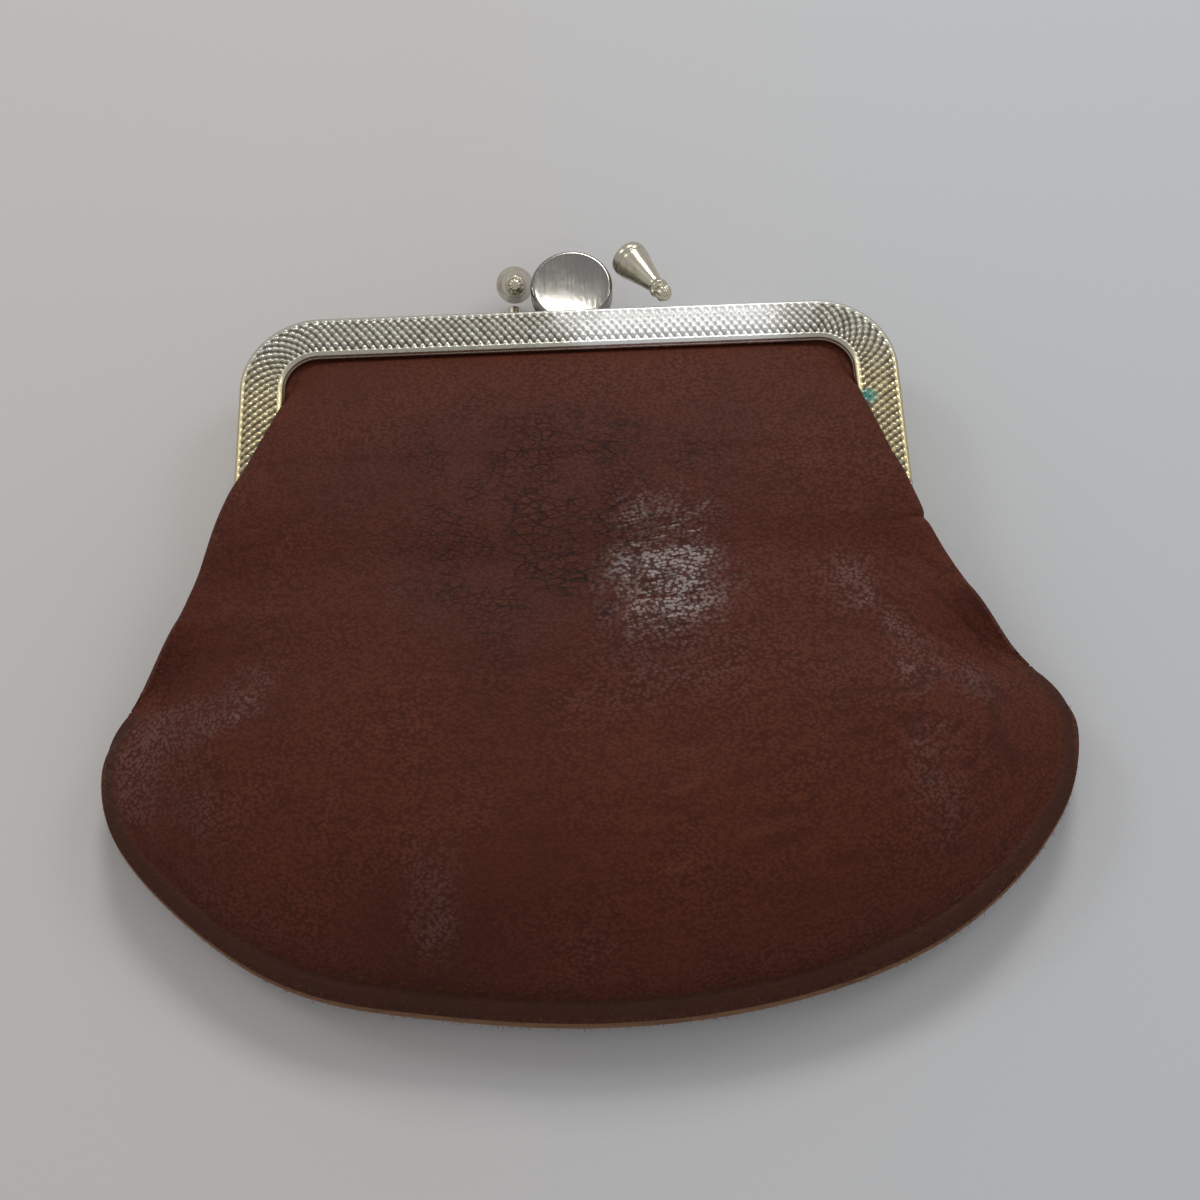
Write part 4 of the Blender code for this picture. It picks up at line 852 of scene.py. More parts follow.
def front_rows(y, shares):
    """Half profiles of the front leather on rows of one y: belly, overhang or fold, and hidden edge.

    Above the legs' free length it runs round the frame's lip into the channel; below it is folded
    in. Control points are blended between the two, and with the shape close to the bar.
    """
    fall = np.clip((y - FREE_EDGE) / (INNER_Y - FREE_EDGE), 0, 1)
    even = CREST_SLOPE * (INNER_Y - FREE_EDGE) / (HINGE_CREST - LEATHER / 2 - FRONT_SLOT)
    crest = between(HINGE_CREST - LEATHER / 2, FRONT_SLOT, even * fall + (1 - even) * fall ** 3)
    lip = slot_half_width(np.minimum(y, INNER_Y), FRAME_FACE)
    end = slot_half_width(y, SHEET_INSET)
    edge = np.maximum(fold_half_width(y), lip + 0.2 * MM)
    in_from_middle = (np.minimum(edge, LEG_CENTRE) - LEG_CENTRE) / (FRAME_FACE / 2)
    face = FRONT_FACE - FRAME_DOME * np.abs(in_from_middle) ** DOME_POWER
    over = face + CLEAR
    spare = crest - over - 0.5 * LEATHER
    rise = 0.5 * LEATHER + (spare + np.hypot(spare, LEATHER)) / 2
    lip_z = FRONT_FACE - FRAME_DOME - FRAME_WALL / 2 + 0 * y
    slot = FRONT_SLOT + 0 * y
    hanging = [(0 * y, crest), (0.25 * edge, crest), (0.50 * edge, between(crest, over + rise, 0.15)),
               (0.71 * edge, between(crest, over + 0.98 * rise, 0.6)), (0.85 * edge, over + 0.92 * rise),
               (0.945 * edge, over + 0.76 * rise), (edge + CLEAR / 2, over + 0.42 * rise), (edge, over),
               (between(lip, edge, 0.5), over), (lip - SEAT_GAP, lip_z + 1.25 * LIP_REACH),
               (lip - 1.35 * LIP_REACH, lip_z), (lip - SEAT_GAP, slot), (lip + LEATHER, slot), (end, slot)]
    near = lip - 1.2 * LIP_REACH
    drop = crest - slot
    plain = [(0 * y, crest), (0.25 * near, crest), (0.50 * near, crest), (0.66 * near, crest - 0.02 * drop),
             (0.80 * near, crest - 0.09 * drop), (0.90 * near, crest - 0.25 * drop),
             (0.96 * near, crest - 0.48 * drop), (near, crest - 0.80 * drop),
             (near + 0.2 * LIP_REACH, slot + 0.08 * drop), (near + 0.5 * LIP_REACH, slot),
             (lip - SEAT_GAP, slot), (lip + 0.4 * LEATHER, slot), (lip + LEATHER, slot), (end, slot)]
    down = np.clip((FREE_EDGE - y) / (FREE_EDGE + POUCH_EDGE), 0, 1)
    bottom = front_height(0 * y, -POUCH_EDGE + 0 * y)
    length = FREE_EDGE + POUCH_EDGE
    crest_low = (HINGE_CREST - LEATHER / 2 + (bottom - HINGE_CREST + LEATHER / 2) * eased(down)
                 + length * CREST_SLOPE * down * (1 - down) ** 2
                 - length * POUCH_SLOPE * down ** 2 * (1 - down))
    past_leg = eased((LEG_END + CLEAR - y) / (LEG_END + POUCH_EDGE))
    under = between(FRONT_FACE + CLEAR, turned_edge_height(-POUCH_EDGE), past_leg)
    fold = under + FOLD_LIFT
    room = crest_low - fold
    free = [(0 * y, crest_low), (0.25 * edge, crest_low),
            (0.50 * edge, fold + between(1.0, 0.93, down) * room),
            (0.70 * edge, fold + between(0.98, 0.72, down) * room),
            (0.84 * edge, fold + between(0.90, 0.40, down) * room),
            (0.94 * edge, fold + between(0.62, 0.12, down) * room),
            (edge, fold + between(0.24, 0.0, down) * room), (edge + FOLD_BULGE, under + FOLD_LIFT / 2),
            (edge, under)] + [(edge - share * TURNED_EDGE, under) for share in (0.2, 0.4, 0.6, 0.8, 1.0)]
    hanging, plain, free = (np.moveaxis(np.array(way), -1, 0) for way in (hanging, plain, free))
    plain_share = eased((y - PLAIN_FROM) / PLAIN_OVER)[:, None, None]
    free_share = eased((FREE_EDGE - y) / FREE_OVER)[:, None, None]
    rows = spline_rows(between(between(hanging, plain, plain_share), free, free_share), shares)
    above_pouch = 1 - eased((-y - 2 * MM) / (POUCH_EDGE - 2 * MM))[:, None]
    rows[..., 1] += above_pouch * swell(rows[..., 0], y[:, None]) * eased((INNER_Y - y[:, None]) / (6 * MM))
    return rows


def mirrored(half_rows, y):
    """Whole rows from half profiles: the left half is the right one's mirror image."""
    x = np.concatenate([-half_rows[:, :0:-1, 0], half_rows[:, :, 0]], axis=1)
    z = np.concatenate([half_rows[:, :0:-1, 1], half_rows[:, :, 1]], axis=1)
    return np.stack([x, np.broadcast_to(y[:, None], x.shape), z], axis=-1)


half_shares = np.linspace(0, 1, (COLUMNS + 1) // 2)
upper_y = np.linspace(SHEET_TOP, BORDER, UPPER_ROWS)
throat_y = np.linspace(BORDER, -POUCH_EDGE, THROAT_ROWS)
upper = mirrored(front_rows(upper_y, half_shares), upper_y)
throat = mirrored(front_rows(throat_y, half_shares), throat_y)

last = throat[-1]
fold_column = int(np.argmax(last[:, 0]))
fold_count = COLUMNS - 1 - fold_column
inner_columns = slice(fold_count, fold_column + 1)
spread = np.clip(last[:, 0] / last[fold_column, 0], -1, 1)
spread[:fold_count], spread[fold_column + 1:] = -1, 1
down = np.linspace(0, 1, FAN_ROWS)[1:, None]
fan_x, fan_y = pouch_plan((1 + spread[None, :]) / 2, down, -POUCH_EDGE, last[fold_column, 0],
                          CORNER_SHOW, BOTTOM_SHOW)
fan_z = front_height(fan_x, fan_y)
lift = np.maximum(FOLD_LIFT * open_share(fan_y), TURNED_EDGE_END)
turned_edges = ((slice(0, fold_count), fold_count), (slice(fold_column + 1, COLUMNS), fold_column))
for columns, corner in turned_edges:
    sink = (last[columns, 2] - last[corner, 2])[None, :] / FOLD_LIFT
    reach = (last[columns, 0] - last[corner, 0])[None, :] / TURNED_EDGE
    fan_z[:, columns] += sink * lift[:, columns]
    fan_x[:, columns] += reach * between(TURNED_EDGE, TURNED_EDGE_END, down)
fan = np.stack([fan_x, fan_y, fan_z], axis=-1)

join_share = eased((-throat_y - 2 * MM) / (POUCH_EDGE - 2 * MM))[:, None]
throat[:, inner_columns, 2] = between(throat[:, inner_columns, 2],
                                      front_height(throat[:, inner_columns, 0], throat[:, inner_columns, 1]),
                                      join_share)
for columns, corner in turned_edges:
    change = throat[-1, corner, 2] - last[corner, 2]
    throat[:, columns, 2] += change * join_share

front = np.concatenate([upper, throat[1:], fan], axis=0)
x, y = front[..., 0], front[..., 1]
held_share = eased((y - 19 * MM) / (4 * MM))
leaf_share = np.ones(COLUMNS)
leaf_share[:fold_count], leaf_share[fold_column + 1:] = 0.25, 0.25
relief = front_relief(x, y) * (1 - held_share) * leaf_share[None, :]
# The wrinkle mark carries the fine relief to the finish, which paints shade in its valleys and a highlight on
# its ridges.
front_marks = {"seam": seam_shade_mark(x, y, 2.0 * MM), "polish": polish(x, y),
               "wrinkle": np.clip(front_wrinkles(x, y) / WRINKLE_SCALE, -1, 1)}
pulled = np.exp(-((y - NOTCH_Y) / (0.7 * MM)) ** 2) * eased((x - NOTCH_X + 3 * MM) / (3 * MM))
front = front + normals_of(front) * relief[..., None]
front[..., 0] -= NOTCH_PULL * pulled
off_frame = eased((front[..., 2] - FRONT_SLOT - LEATHER) / (2 * LEATHER))
front[..., 0] -= SIDE_SHIFT * off_frame * np.exp(-((front[..., 1] - 2 * MM) / (10 * MM)) ** 2)
front = settled(front)


def leather_finish(name, colour, light, dark, flexed=None):
    """Old dyed calf: pebbled grain with dark gaps, clouded dye, polish and crackle, a seam flange darkened
    partly in its own tone and partly by painted shade, and painted shade in the wrinkles' valleys with a
    painted highlight on their ridges.

    The crackle lies within a reach round the place where the leather has flexed most. The seam,
    raw, polish and wrinkle marks are read from the sheet, and a sheet without them is plain.
    """
    finish = Finish(name)
    cloud = finish.noise(34, 4, 0.6)
    patch = finish.noise(120, 3, 0.6)
    fine = finish.noise(3600, 2, 0.6)
    fold = finish.noise(430, 3, 0.55, twist=0.8)
    pebble = finish.cells(1, feature="F1", vector=finish.stretched((1900, 2300, 2000), (0, 0, 0.3)))
    coarse = finish.cells(820, feature="SMOOTH_F1")
    tone = finish.mixed(finish.span(cloud, 0.30, 0.60, 0.35, 1.0), dark, colour)
    tone = finish.mixed(finish.span(patch, 0.50, 0.72) * 0.35, tone, light)
    gaps = finish.span(pebble + 0.22 * coarse + 0.30 * fine, 0.55, 0.98)
    tone = finish.mixed(gaps * finish.span(patch, 0.30, 0.62, 0.55, 0.95), tone, dark)
    fleck = finish.span(finish.noise(1300, 3, 0.75), 0.60, 0.74)
    tone = finish.mixed(fleck * finish.span(patch, 0.40, 0.62, 0.15, 0.5), tone, (0.150, 0.052, 0.022))
    wrinkle = finish.mark("wrinkle")
    # Painted shade darkens the wrinkles' valleys, and a painted highlight lightens their ridges.
    tone = finish.mixed(finish.span(wrinkle, -0.9, -0.1, 0.75, 0.0), tone, dark)
    painted_ridge_highlight = finish.span(wrinkle, 0.25, 0.9, 0.0, 0.55) * (0.35 + fleck)
    tone = finish.mixed(painted_ridge_highlight, tone, (0.160, 0.050, 0.020))
    height = 0.35 * fine + 0.9 * fold - 0.75 * pebble - 0.25 * coarse
    if flexed:
        middle, reach = flexed
        away = finish.away_from(middle)
        near = finish.span(away + (cloud - 0.5) * reach, 0.2 * reach, 1.1 * reach, 1.0, 0.0)
        crackle = finish.cells(1, vector=finish.stretched((620, 900, 600), (0, 0, 0.25)))
        wide = finish.cells(1, vector=finish.stretched((260, 380, 260), (0, 0, -0.2)))
        lines = finish.span(crackle, 0.0, 0.11, 1.0, 0.0) * 0.8 + finish.span(wide, 0.0, 0.05, 1.0, 0.0) * 0.6
        lines = lines * near * finish.span(patch, 0.36, 0.58)
        tone = finish.mixed(lines * 0.8, finish.mixed(near * 0.50, tone, dark), (0.014, 0.006, 0.004))
        height = height - 0.9 * lines
    # The seam flange is darkened, partly in the leather's own tone and partly as painted shade where the
    # flange turns down away from the light.
    seam = finish.mark("seam")
    tone = finish.mixed(seam * finish.span(patch, 0.2, 0.7, 0.95, 0.70), tone, (0.040, 0.0150, 0.0075))
    raw = finish.mark("raw")
    tone = finish.mixed(raw * finish.span(fine, 0.30, 0.62, 0.5, 1.0), tone, (0.270, 0.098, 0.032))
    worn = finish.mark("polish")
    shiny = finish.span(worn + (patch - 0.5) * 0.9 + (fold - 0.5) * 0.7, 0.25, 0.95)
    finish.shine(base_color=tone, roughness=0.55 + 0.15 * gaps, specular_ior_level=0.15,
                 coat_weight=shiny * finish.span(gaps, 0.1, 0.8, 0.62, 0.06), coat_roughness=0.30)
    finish.relief(height * (1.0 + 0.5 * worn), 0.075 * MM, 1.0)
    return finish


def raw_edge_finish(name, colour, dark):
    """A cut leather edge: layered fibres, orange-tan where the dye didn't reach, dark in places."""
    finish = Finish(name)
    fibres = finish.noise(1, 4, 0.7, vector=finish.stretched((900, 900, 5200)))
    patch = finish.noise(260, 3, 0.6)
    tone = finish.mixed(finish.span(fibres, 0.35, 0.65), colour, dark)
    finish.shine(base_color=finish.mixed(finish.span(patch, 0.48, 0.70) * 0.8, tone, dark), roughness=0.85)
    finish.relief(fibres, 0.12 * MM, 0.9)
    return finish


CALF = leather_finish("front_calf", (0.088, 0.0196, 0.0080), (0.112, 0.0285, 0.0130), (0.053, 0.0120, 0.0055),
                      flexed=((-1 * MM, -2 * MM, 17 * MM), 29 * MM))
RAW_EDGE = raw_edge_finish("raw_leather_edge", (0.50, 0.165, 0.045), (0.130, 0.042, 0.018))


def new_sheet(name, points, thickness, finishes, cells=None, marks=None):
    """A sheet of leather or cloth over a grid of points, as a closed shell with crisp edges.

    Its faces lie half the thickness out along the grid's normals, up and down. Where a cell's edge
    has no neighbour, a cut edge of two narrow faces joins them, its middle standing out a little.
    The finishes are the two faces' and the cut edge's. The marks are named shares, one for each
    point, that a finish may read.
    """
    rows, columns = points.shape[:2]
    cells = np.array(grid_faces(rows, columns) if cells is None else cells)[:, ::-1]
    normal = normals_of(points).reshape(-1, 3)
    flat = points.reshape(-1, 3)
    count = len(flat)
    starts, stops = cells.ravel(), np.roll(cells, -1, axis=1).ravel()
    rim = ~np.isin(starts * count + stops, stops * count + starts)
    first, second = starts[rim], stops[rim]
    edge = flat[second] - flat[first]
    out = np.zeros_like(flat)
    sideways = np.cross(edge, normal[first])
    np.add.at(out, first, sideways)
    np.add.at(out, second, sideways)
    out /= np.maximum(np.linalg.norm(out, axis=1, keepdims=True), 1e-12)
    half = normal * thickness / 2
    stacked = np.vstack([flat + half, flat - half, flat + out * CUT_EDGE_BULGE])
    low_first, low_second = first + count, second + count
    mid_first, mid_second = first + 2 * count, second + 2 * count
    walls = np.concatenate([np.stack([second, first, mid_first, mid_second], 1),
                            np.stack([mid_second, mid_first, low_first, low_second], 1)])
    faces = np.concatenate([cells, cells[:, ::-1] + count, walls])
    used = np.unique(faces)
    number = np.zeros(3 * count, int)
    number[used] = np.arange(len(used))
    mesh = bpy.data.meshes.new(name)
    mesh.from_pydata(stacked[used].tolist(), [], number[faces].tolist())
    for mark, values in (marks or {}).items():
        every = np.tile(values.ravel(), 3)[used]
        mesh.attributes.new(mark, "FLOAT", "POINT").data.foreach_set("value", every)
    looks = np.repeat([0, 1], [2 * len(cells), len(walls)])
    mesh.polygons.foreach_set("material_index", looks.astype(np.int32))
    edges = np.zeros(2 * len(mesh.edges), np.int32)
    mesh.edges.foreach_get("vertices", edges)
    keys = np.sort(edges.reshape(-1, 2), axis=1).astype(np.int64)
    crisp = np.concatenate([np.sort(np.stack([number[first + k], number[second + k]], 1), axis=1)
                            for k in (0, count)])
    sharp = np.isin(keys[:, 0] * 4 * count + keys[:, 1], crisp[:, 0] * 4 * count + crisp[:, 1])
    mesh.attributes.new("sharp_edge", "BOOLEAN", "EDGE").data.foreach_set("value", sharp)
    shape = bmesh.new()
    shape.from_mesh(mesh)
    bmesh.ops.recalc_face_normals(shape, faces=shape.faces)
    shape.to_mesh(mesh)
    shape.free()
    return placed(name, mesh, finishes)


def declare_sheet(points):
    first = points[1:, 1:] - points[:-1, :-1]
    second = points[1:, :-1] - points[:-1, 1:]


def bend_above(piece):
    """Bakes the piece's placement into its mesh."""
    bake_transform(piece)


def bend_below(piece):
    """Bakes the piece's placement into its mesh."""
    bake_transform(piece)


border_row = UPPER_ROWS - 1
for name, part, nodes, bend in (
        ("front_leather_upper", slice(0, border_row + 1), ["front_panel_upper"], bend_above),
        ("front_leather_lower", slice(border_row, None), ["front_panel_throat", "front_panel_lower"],
         bend_below)):
    rows = front[part]
    piece = new_sheet(name, rows, LEATHER, [CALF, RAW_EDGE],
                      marks={mark: values[part] for mark, values in front_marks.items()})
    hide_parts(*nodes)
    bend(piece)
    declare_sheet(rows)


# The rear leather: the same calf, flat where the purse rests on it. Its top and sides are held in
# the rear frame's channel, and its lower edge is the outermost layer of the seam.

REAR_FLATNESS = 1.7
LEG_CLIMB = 2.6 * MM
LEG_CLEAR_HEIGHT = 1.3 * MM
BAR_CLIMB = 8.0 * MM
REAR_HELD_COLUMNS = 14
REAR_COLUMNS = 161
REAR_UPPER_ROWS = 64
REAR_THROAT_ROWS = 44
REAR_FAN_ROWS = 90


def rear_rim_height(y):
    """Mid height of the rear leather's side edge, which leaves room for the gusset over it."""
    return edge_level(y) - STACK_PANEL - GUSSET_ROOM * open_share(y)


def rear_height(x, y):
    """Mid height of the rear leather under the pouch, flat where the purse rests on it."""
    flat = np.minimum(1, REAR_FLATNESS * puff(x, y))
    return between(rear_rim_height(y), LEATHER / 2, flat) - seam_sag(x, y)


def rear_edge_height(y):
    """Mid height of the rear leather's side edge, low under the leg's end and up again past it."""
    under_leg = between(LEG_CLIMB, LEG_CLEAR_HEIGHT, eased((FREE_EDGE - y) / BACK_BULGE))
    return between(under_leg, rear_rim_height(y), eased((FRAME_WALL - y) / POUCH_EDGE))


def rear_inner_half_width(y):
    """Half width of the rear leather's free part: inside the legs, then out to the side fold."""
    inside = slot_half_width(np.minimum(y, INNER_Y), FRAME_FACE) - LIP_REACH - SEAT_GAP
    beside = between(FOLD_TOP, inside, y / FREE_EDGE)
    return np.where(y >= FREE_EDGE, inside, np.where(y > 0, beside, fold_half_width(y)))


def rear_rows(y, across):
    """Rows of the rear leather from the channel to the pouch: flat middle, climbing sides, held edges."""
    y = np.broadcast_to(y[:, None], (len(y), len(across)))
    near = rear_inner_half_width(y)
    climb = eased((y - INNER_Y + BAR_CLIMB) / (BAR_CLIMB - SEAT_GAP))
    edge_z = between(rear_edge_height(y), REAR_SLOT, climb)
    middle_z = between(LEATHER / 2, REAR_SLOT, climb)
    share = np.minimum(1, np.abs(across))[None, :]
    x = near * share
    z = between(middle_z, edge_z, eased((share - 0.8) / 0.2))
    z = between(z, rear_height(x, y), eased(-y / POUCH_EDGE))
    held = np.clip(np.abs(across) - 1, 0, 1)[None, :]
    end = slot_half_width(y, SHEET_INSET)
    x = x + held * (end - near)
    z = between(z, REAR_SLOT, eased(held / 0.35))
    return np.stack([np.sign(across)[None, :] * x, y, z], axis=-1)


across = np.linspace(-1, 1, REAR_COLUMNS - 2 * REAR_HELD_COLUMNS)
beyond = np.linspace(1, 2, REAR_HELD_COLUMNS + 1)[1:]
rear_across = np.concatenate([-beyond[::-1], across, beyond])
rear_upper_y = np.linspace(SHEET_TOP, FREE_EDGE, REAR_UPPER_ROWS)
rear_throat_y = np.linspace(FREE_EDGE, -POUCH_EDGE, REAR_THROAT_ROWS)[1:]
top_rows = rear_rows(np.concatenate([rear_upper_y, rear_throat_y]), rear_across)
fan_across = (1 + np.clip(rear_across, -1, 1)[None, :]) / 2
fan_x, fan_y = pouch_plan(fan_across, np.linspace(0, 1, REAR_FAN_ROWS)[1:, None], -POUCH_EDGE,
                          fold_half_width(np.array(-POUCH_EDGE)))
rear = np.concatenate([top_rows, np.stack([fan_x, fan_y, rear_height(fan_x, fan_y)], axis=-1)], axis=0)
x, y = rear[..., 0], rear[..., 1]
rear_share = edge_share(x, y)
rear_relief = 0.10 * MM * waves(x, y, 9 * MM, 12) * eased((1 - rear_share) / 0.15) + 0.08 * MM
rear[..., 2] += np.maximum(rear_relief, 0) * (1 - eased((y - 6 * MM) / (4 * MM)))
raw_share = 1 - eased((edge_distance(x, y) - RAW_SHOW / 2) / (RAW_SHOW / 2))
rear_marks = {"seam": seam_shade_mark(x, y, 2.4 * MM), "polish": 0.6 * eased((0.9 - rear_share) / 0.4),
              "raw": raw_share * eased((-y - KINK_DROP) / (4 * MM))}
rear = settled(rear)
cells = grid_faces(*rear.shape[:2])
cell_row = np.arange(len(cells)) // (REAR_COLUMNS - 1)
cell_column = np.arange(len(cells)) % (REAR_COLUMNS - 1)
beside = (cell_column < REAR_HELD_COLUMNS) | (cell_column >= REAR_COLUMNS - 1 - REAR_HELD_COLUMNS)
below = cell_row >= REAR_UPPER_ROWS - 1
rear_faces = [cell for cell, left_out in zip(cells, beside & below) if not left_out]

REAR_CALF = leather_finish("rear_calf", (0.085, 0.0190, 0.0078), (0.108, 0.0278, 0.0126),
                           (0.051, 0.0116, 0.0053))
piece = new_sheet("rear_leather", rear, LEATHER, [REAR_CALF, RAW_EDGE], rear_faces, rear_marks)
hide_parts("rear_panel")
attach(piece, "rear_half")
declare_sheet(rear[:, REAR_HELD_COLUMNS:-REAR_HELD_COLUMNS])


# The divider: one thinner leather between the pockets, its top held in the middle frame and its bottom caught
# in the seam.

DIVIDER_EDGE = 4.2 * MM
DIVIDER_COLUMNS = 121
DIVIDER_UPPER_ROWS = 60
DIVIDER_FAN_ROWS = 70


def divider_height(x, y):
    """Mid height of the divider, level with the middle frame at the hinge."""
    crest = between(HINGE_HEIGHT, DIVIDER_CREST, eased(-y / KINK_DROP))
    return between(edge_level(y), crest, puff(x, y)) - seam_sag(x, y)


across = np.linspace(-1, 1, DIVIDER_COLUMNS)
divider_y = np.linspace(SHEET_TOP, -DIVIDER_EDGE, DIVIDER_UPPER_ROWS)
y = np.broadcast_to(divider_y[:, None], (DIVIDER_UPPER_ROWS, DIVIDER_COLUMNS))
grip = eased((y - LEG_END) / (FREE_EDGE - LEG_END))
narrow = np.where(y > 0, INNER_X + LEATHER, between(INNER_X + LEATHER, fold_half_width(y) - LEATHER,
                                                   eased(-y / DIVIDER_EDGE)))
x = across[None, :] * between(narrow, slot_half_width(y, SHEET_INSET), grip)
z = between(HINGE_HEIGHT + 0 * y, divider_height(x, y), eased(-y / DIVIDER_EDGE))
held_rows = np.stack([x, y, z], axis=-1)
down = np.linspace(0, 1, DIVIDER_FAN_ROWS)[1:, None]
fan_x, fan_y = pouch_plan((1 + across[None, :]) / 2, down, -DIVIDER_EDGE,
                          fold_half_width(np.array(-DIVIDER_EDGE)) - LEATHER, bottom_show=0.25 * MM)
divider = np.concatenate([held_rows, np.stack([fan_x, fan_y, divider_height(fan_x, fan_y)], axis=-1)], axis=0)
divider = settled(divider)
DIVIDER_CALF = leather_finish("divider_calf", (0.090, 0.0310, 0.0180), (0.120, 0.0450, 0.0270),
                              (0.058, 0.0190, 0.0110))
piece = new_sheet("divider_leather", divider, DIVIDER_LEATHER, [DIVIDER_CALF, RAW_EDGE])
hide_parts("divider_upper", "divider_lower")
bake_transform(piece)
declare_sheet(divider)


# The linings: tan cotton glued behind each outer leather, short of its sides, its lower edge caught
# in the seam.

LINING_OFF = LEATHER / 2 + SEAT_GAP + LINING / 2
THREAD_SCALE = 480.0
LINING_MARGIN = 12
REAR_LINING_MARGIN = 6


def lining_finish(name, colour, dark):
    """Plain-woven cotton: crossing threads about three to the millimetre, soiled in patches."""
    finish = Finish(name)
    warp, weft = (finish.node("TexWave", {"bands_direction": axis},
                              {"Scale": THREAD_SCALE, "Distortion": 0.4, "Vector": finish.coords()}, "Fac")
                  for axis in ("X", "Y"))
    soil = finish.noise(120, 4, 0.6)
    finish.shine(base_color=finish.mixed(finish.span(soil, 0.42, 0.70) * 0.7, colour, dark), roughness=0.9)
    finish.relief(warp * weft, 0.10 * MM, 0.7)
    return finish


COTTON = lining_finish("lining_cotton", (0.235, 0.128, 0.068), (0.120, 0.062, 0.034))
rear_lined = rear + normals_of(rear) * LINING_OFF
rear_margin = REAR_HELD_COLUMNS + REAR_LINING_MARGIN
rear_lined = rear_lined[REAR_UPPER_ROWS // 3:, rear_margin:-rear_margin]
front_lined = front - normals_of(front) * LINING_OFF
low_margin = fold_count + LINING_MARGIN
high_margin = COLUMNS * 10 // 28
for node, rows, bend in (
        ("front_lining_upper", front_lined[UPPER_ROWS // 3:border_row + 1, high_margin:-high_margin],
         bend_above),
        ("front_lining_lower", front_lined[border_row:, low_margin:-low_margin], bend_below),
        ("rear_lining", rear_lined, None)):
    piece = new_sheet(node + "_cotton", rows, LINING, [COTTON, COTTON])
    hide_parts(node)
    if bend:
        bend(piece)
    else:
        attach(piece, "rear_half")
    declare_sheet(rows)


# The side gussets: a thin leather strip folded inwards at each side of each pocket, where the side
# seam ends, so that the pocket opens without tearing.

GUSSET_LEATHER = 0.6 * MM
GUSSET_TOP = 3.0 * MM
GUSSET_END = 9.4 * MM
GUSSET_IN = 1.5 * MM
GUSSET_DEPTH = 8.0 * MM
GUSSET_CLEAR = 0.5 * MM
GUSSET_ROWS = 22
GUSSET_COLUMNS = 41

gusset_y = np.linspace(-GUSSET_TOP, -GUSSET_END, GUSSET_ROWS)
outer = fold_half_width(gusset_y) - GUSSET_IN
inner = outer - GUSSET_DEPTH
past_leg = eased((LEG_END + CLEAR - gusset_y) / (LEG_END + POUCH_EDGE))
throat_under = (between(FRONT_FACE + CLEAR, turned_edge_height(-POUCH_EDGE), past_leg)
                - CLEAR - GUSSET_LEATHER / 2)
over_divider = divider_height(inner, gusset_y) + DIVIDER_LEATHER / 2 + GUSSET_CLEAR + GUSSET_LEATHER / 2
under_divider = (divider_height(outer + GUSSET_IN, gusset_y)
                 - DIVIDER_LEATHER / 2 - SEAT_GAP - GUSSET_LEATHER / 2)
over_rear = (between(rear_edge_height(gusset_y), rear_height(fold_half_width(gusset_y), gusset_y),
                     eased(-gusset_y / POUCH_EDGE)) + CLEAR + GUSSET_LEATHER / 2)
for level_name, low, high in (("front", over_divider, throat_under), ("rear", over_rear, under_divider)):
    way = [(outer, high), (between(outer, inner, 0.6), high), (inner, between(low, high, 0.75)),
           (inner, between(low, high, 0.25)), (between(outer, inner, 0.6), low), (outer, low)]
    rows = spline_rows(np.moveaxis(np.array(way), -1, 0), np.linspace(0, 1, GUSSET_COLUMNS))
    for side, side_name in ((-1, "left"), (1, "right")):
        along = np.broadcast_to(gusset_y[:, None], rows.shape[:2])
        gusset = settled(np.stack([side * rows[..., 0], along, rows[..., 1]], axis=-1))
        piece = new_sheet(level_name + "_gusset_folded_" + side_name, gusset, GUSSET_LEATHER,
                          [DIVIDER_CALF, RAW_EDGE])
        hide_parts(level_name + "_gusset_" + side_name)
        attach(piece, "rear_half")


# The paper cords: twisted kraft paper pushed into each channel to wedge the leather against its
# wall. Only their ends show, at the legs.

CORD_RADIUS = 0.40 * MM
CORD_DEPTH = FRAME_WALL + SEAT_GAP + CORD_RADIUS
CORD_TWIST = 2.4 * MM
CORD_STEPS = 460
CORD_SIDES = 14
CORD_END_STEPS = 3

PAPER = Finish("kraft_paper")
strands = PAPER.noise(1, 4, 0.6, vector=PAPER.stretched((2500, 700, 2500), (0.4, 0.3, 0.2)))
PAPER.shine(base_color=PAPER.mixed(strands, (0.42, 0.31, 0.19), (0.26, 0.18, 0.10)), roughness=0.95)
PAPER.relief(strands, 0.05 * MM, 0.8)
cord_path, cord_out, cord_length = (part[CORD_END_STEPS:-CORD_END_STEPS]
                                    for part in frame_path(CORD_DEPTH, CORD_STEPS))
turn = np.linspace(0, 2 * math.pi, CORD_SIDES, endpoint=False)
for cord_name, body, height in (("front", "front_half", FRONT_SLOT), ("middle", "middle_half", HINGE_HEIGHT),
                                ("rear", "rear_half", REAR_SLOT)):
    ply = 0.86 + 0.14 * np.abs(np.cos(turn[None, :] - math.pi * cord_length[:, None] / CORD_TWIST))
    points = np.empty((len(cord_path), CORD_SIDES, 3))
    outward = CORD_RADIUS * ply * np.cos(turn)
    points[..., :2] = cord_path[:, None, :] + cord_out[:, None, :] * outward[..., None]
    points[..., 2] = height + CORD_RADIUS * ply * np.sin(turn)
    faces = tube_faces(len(points), CORD_SIDES)
    piece = new_piece(cord_name + "_paper_cord_twisted", points, faces, [PAPER])
    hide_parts(cord_name + "_paper_cord")
    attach(piece, body)


# The seam: linen thread in a lockstitch round the bottom, through every layer, with a short sunken
# stitch about every two and a half millimetres on the front and on the back. On the front the leather
# rolls over the first and the last of them, at the corners.

STITCH_PITCH = 2.4 * MM
STITCH_LENGTH = 2.30 * MM
FRONT_STITCHES_FROM, FRONT_STITCHES_TO = -45 * MM, 50 * MM
THREAD_RADIUS = 0.20 * MM
STITCH_SINK = 0.04 * MM
STITCH_STEPS = 9
THREAD_SIDES = 8

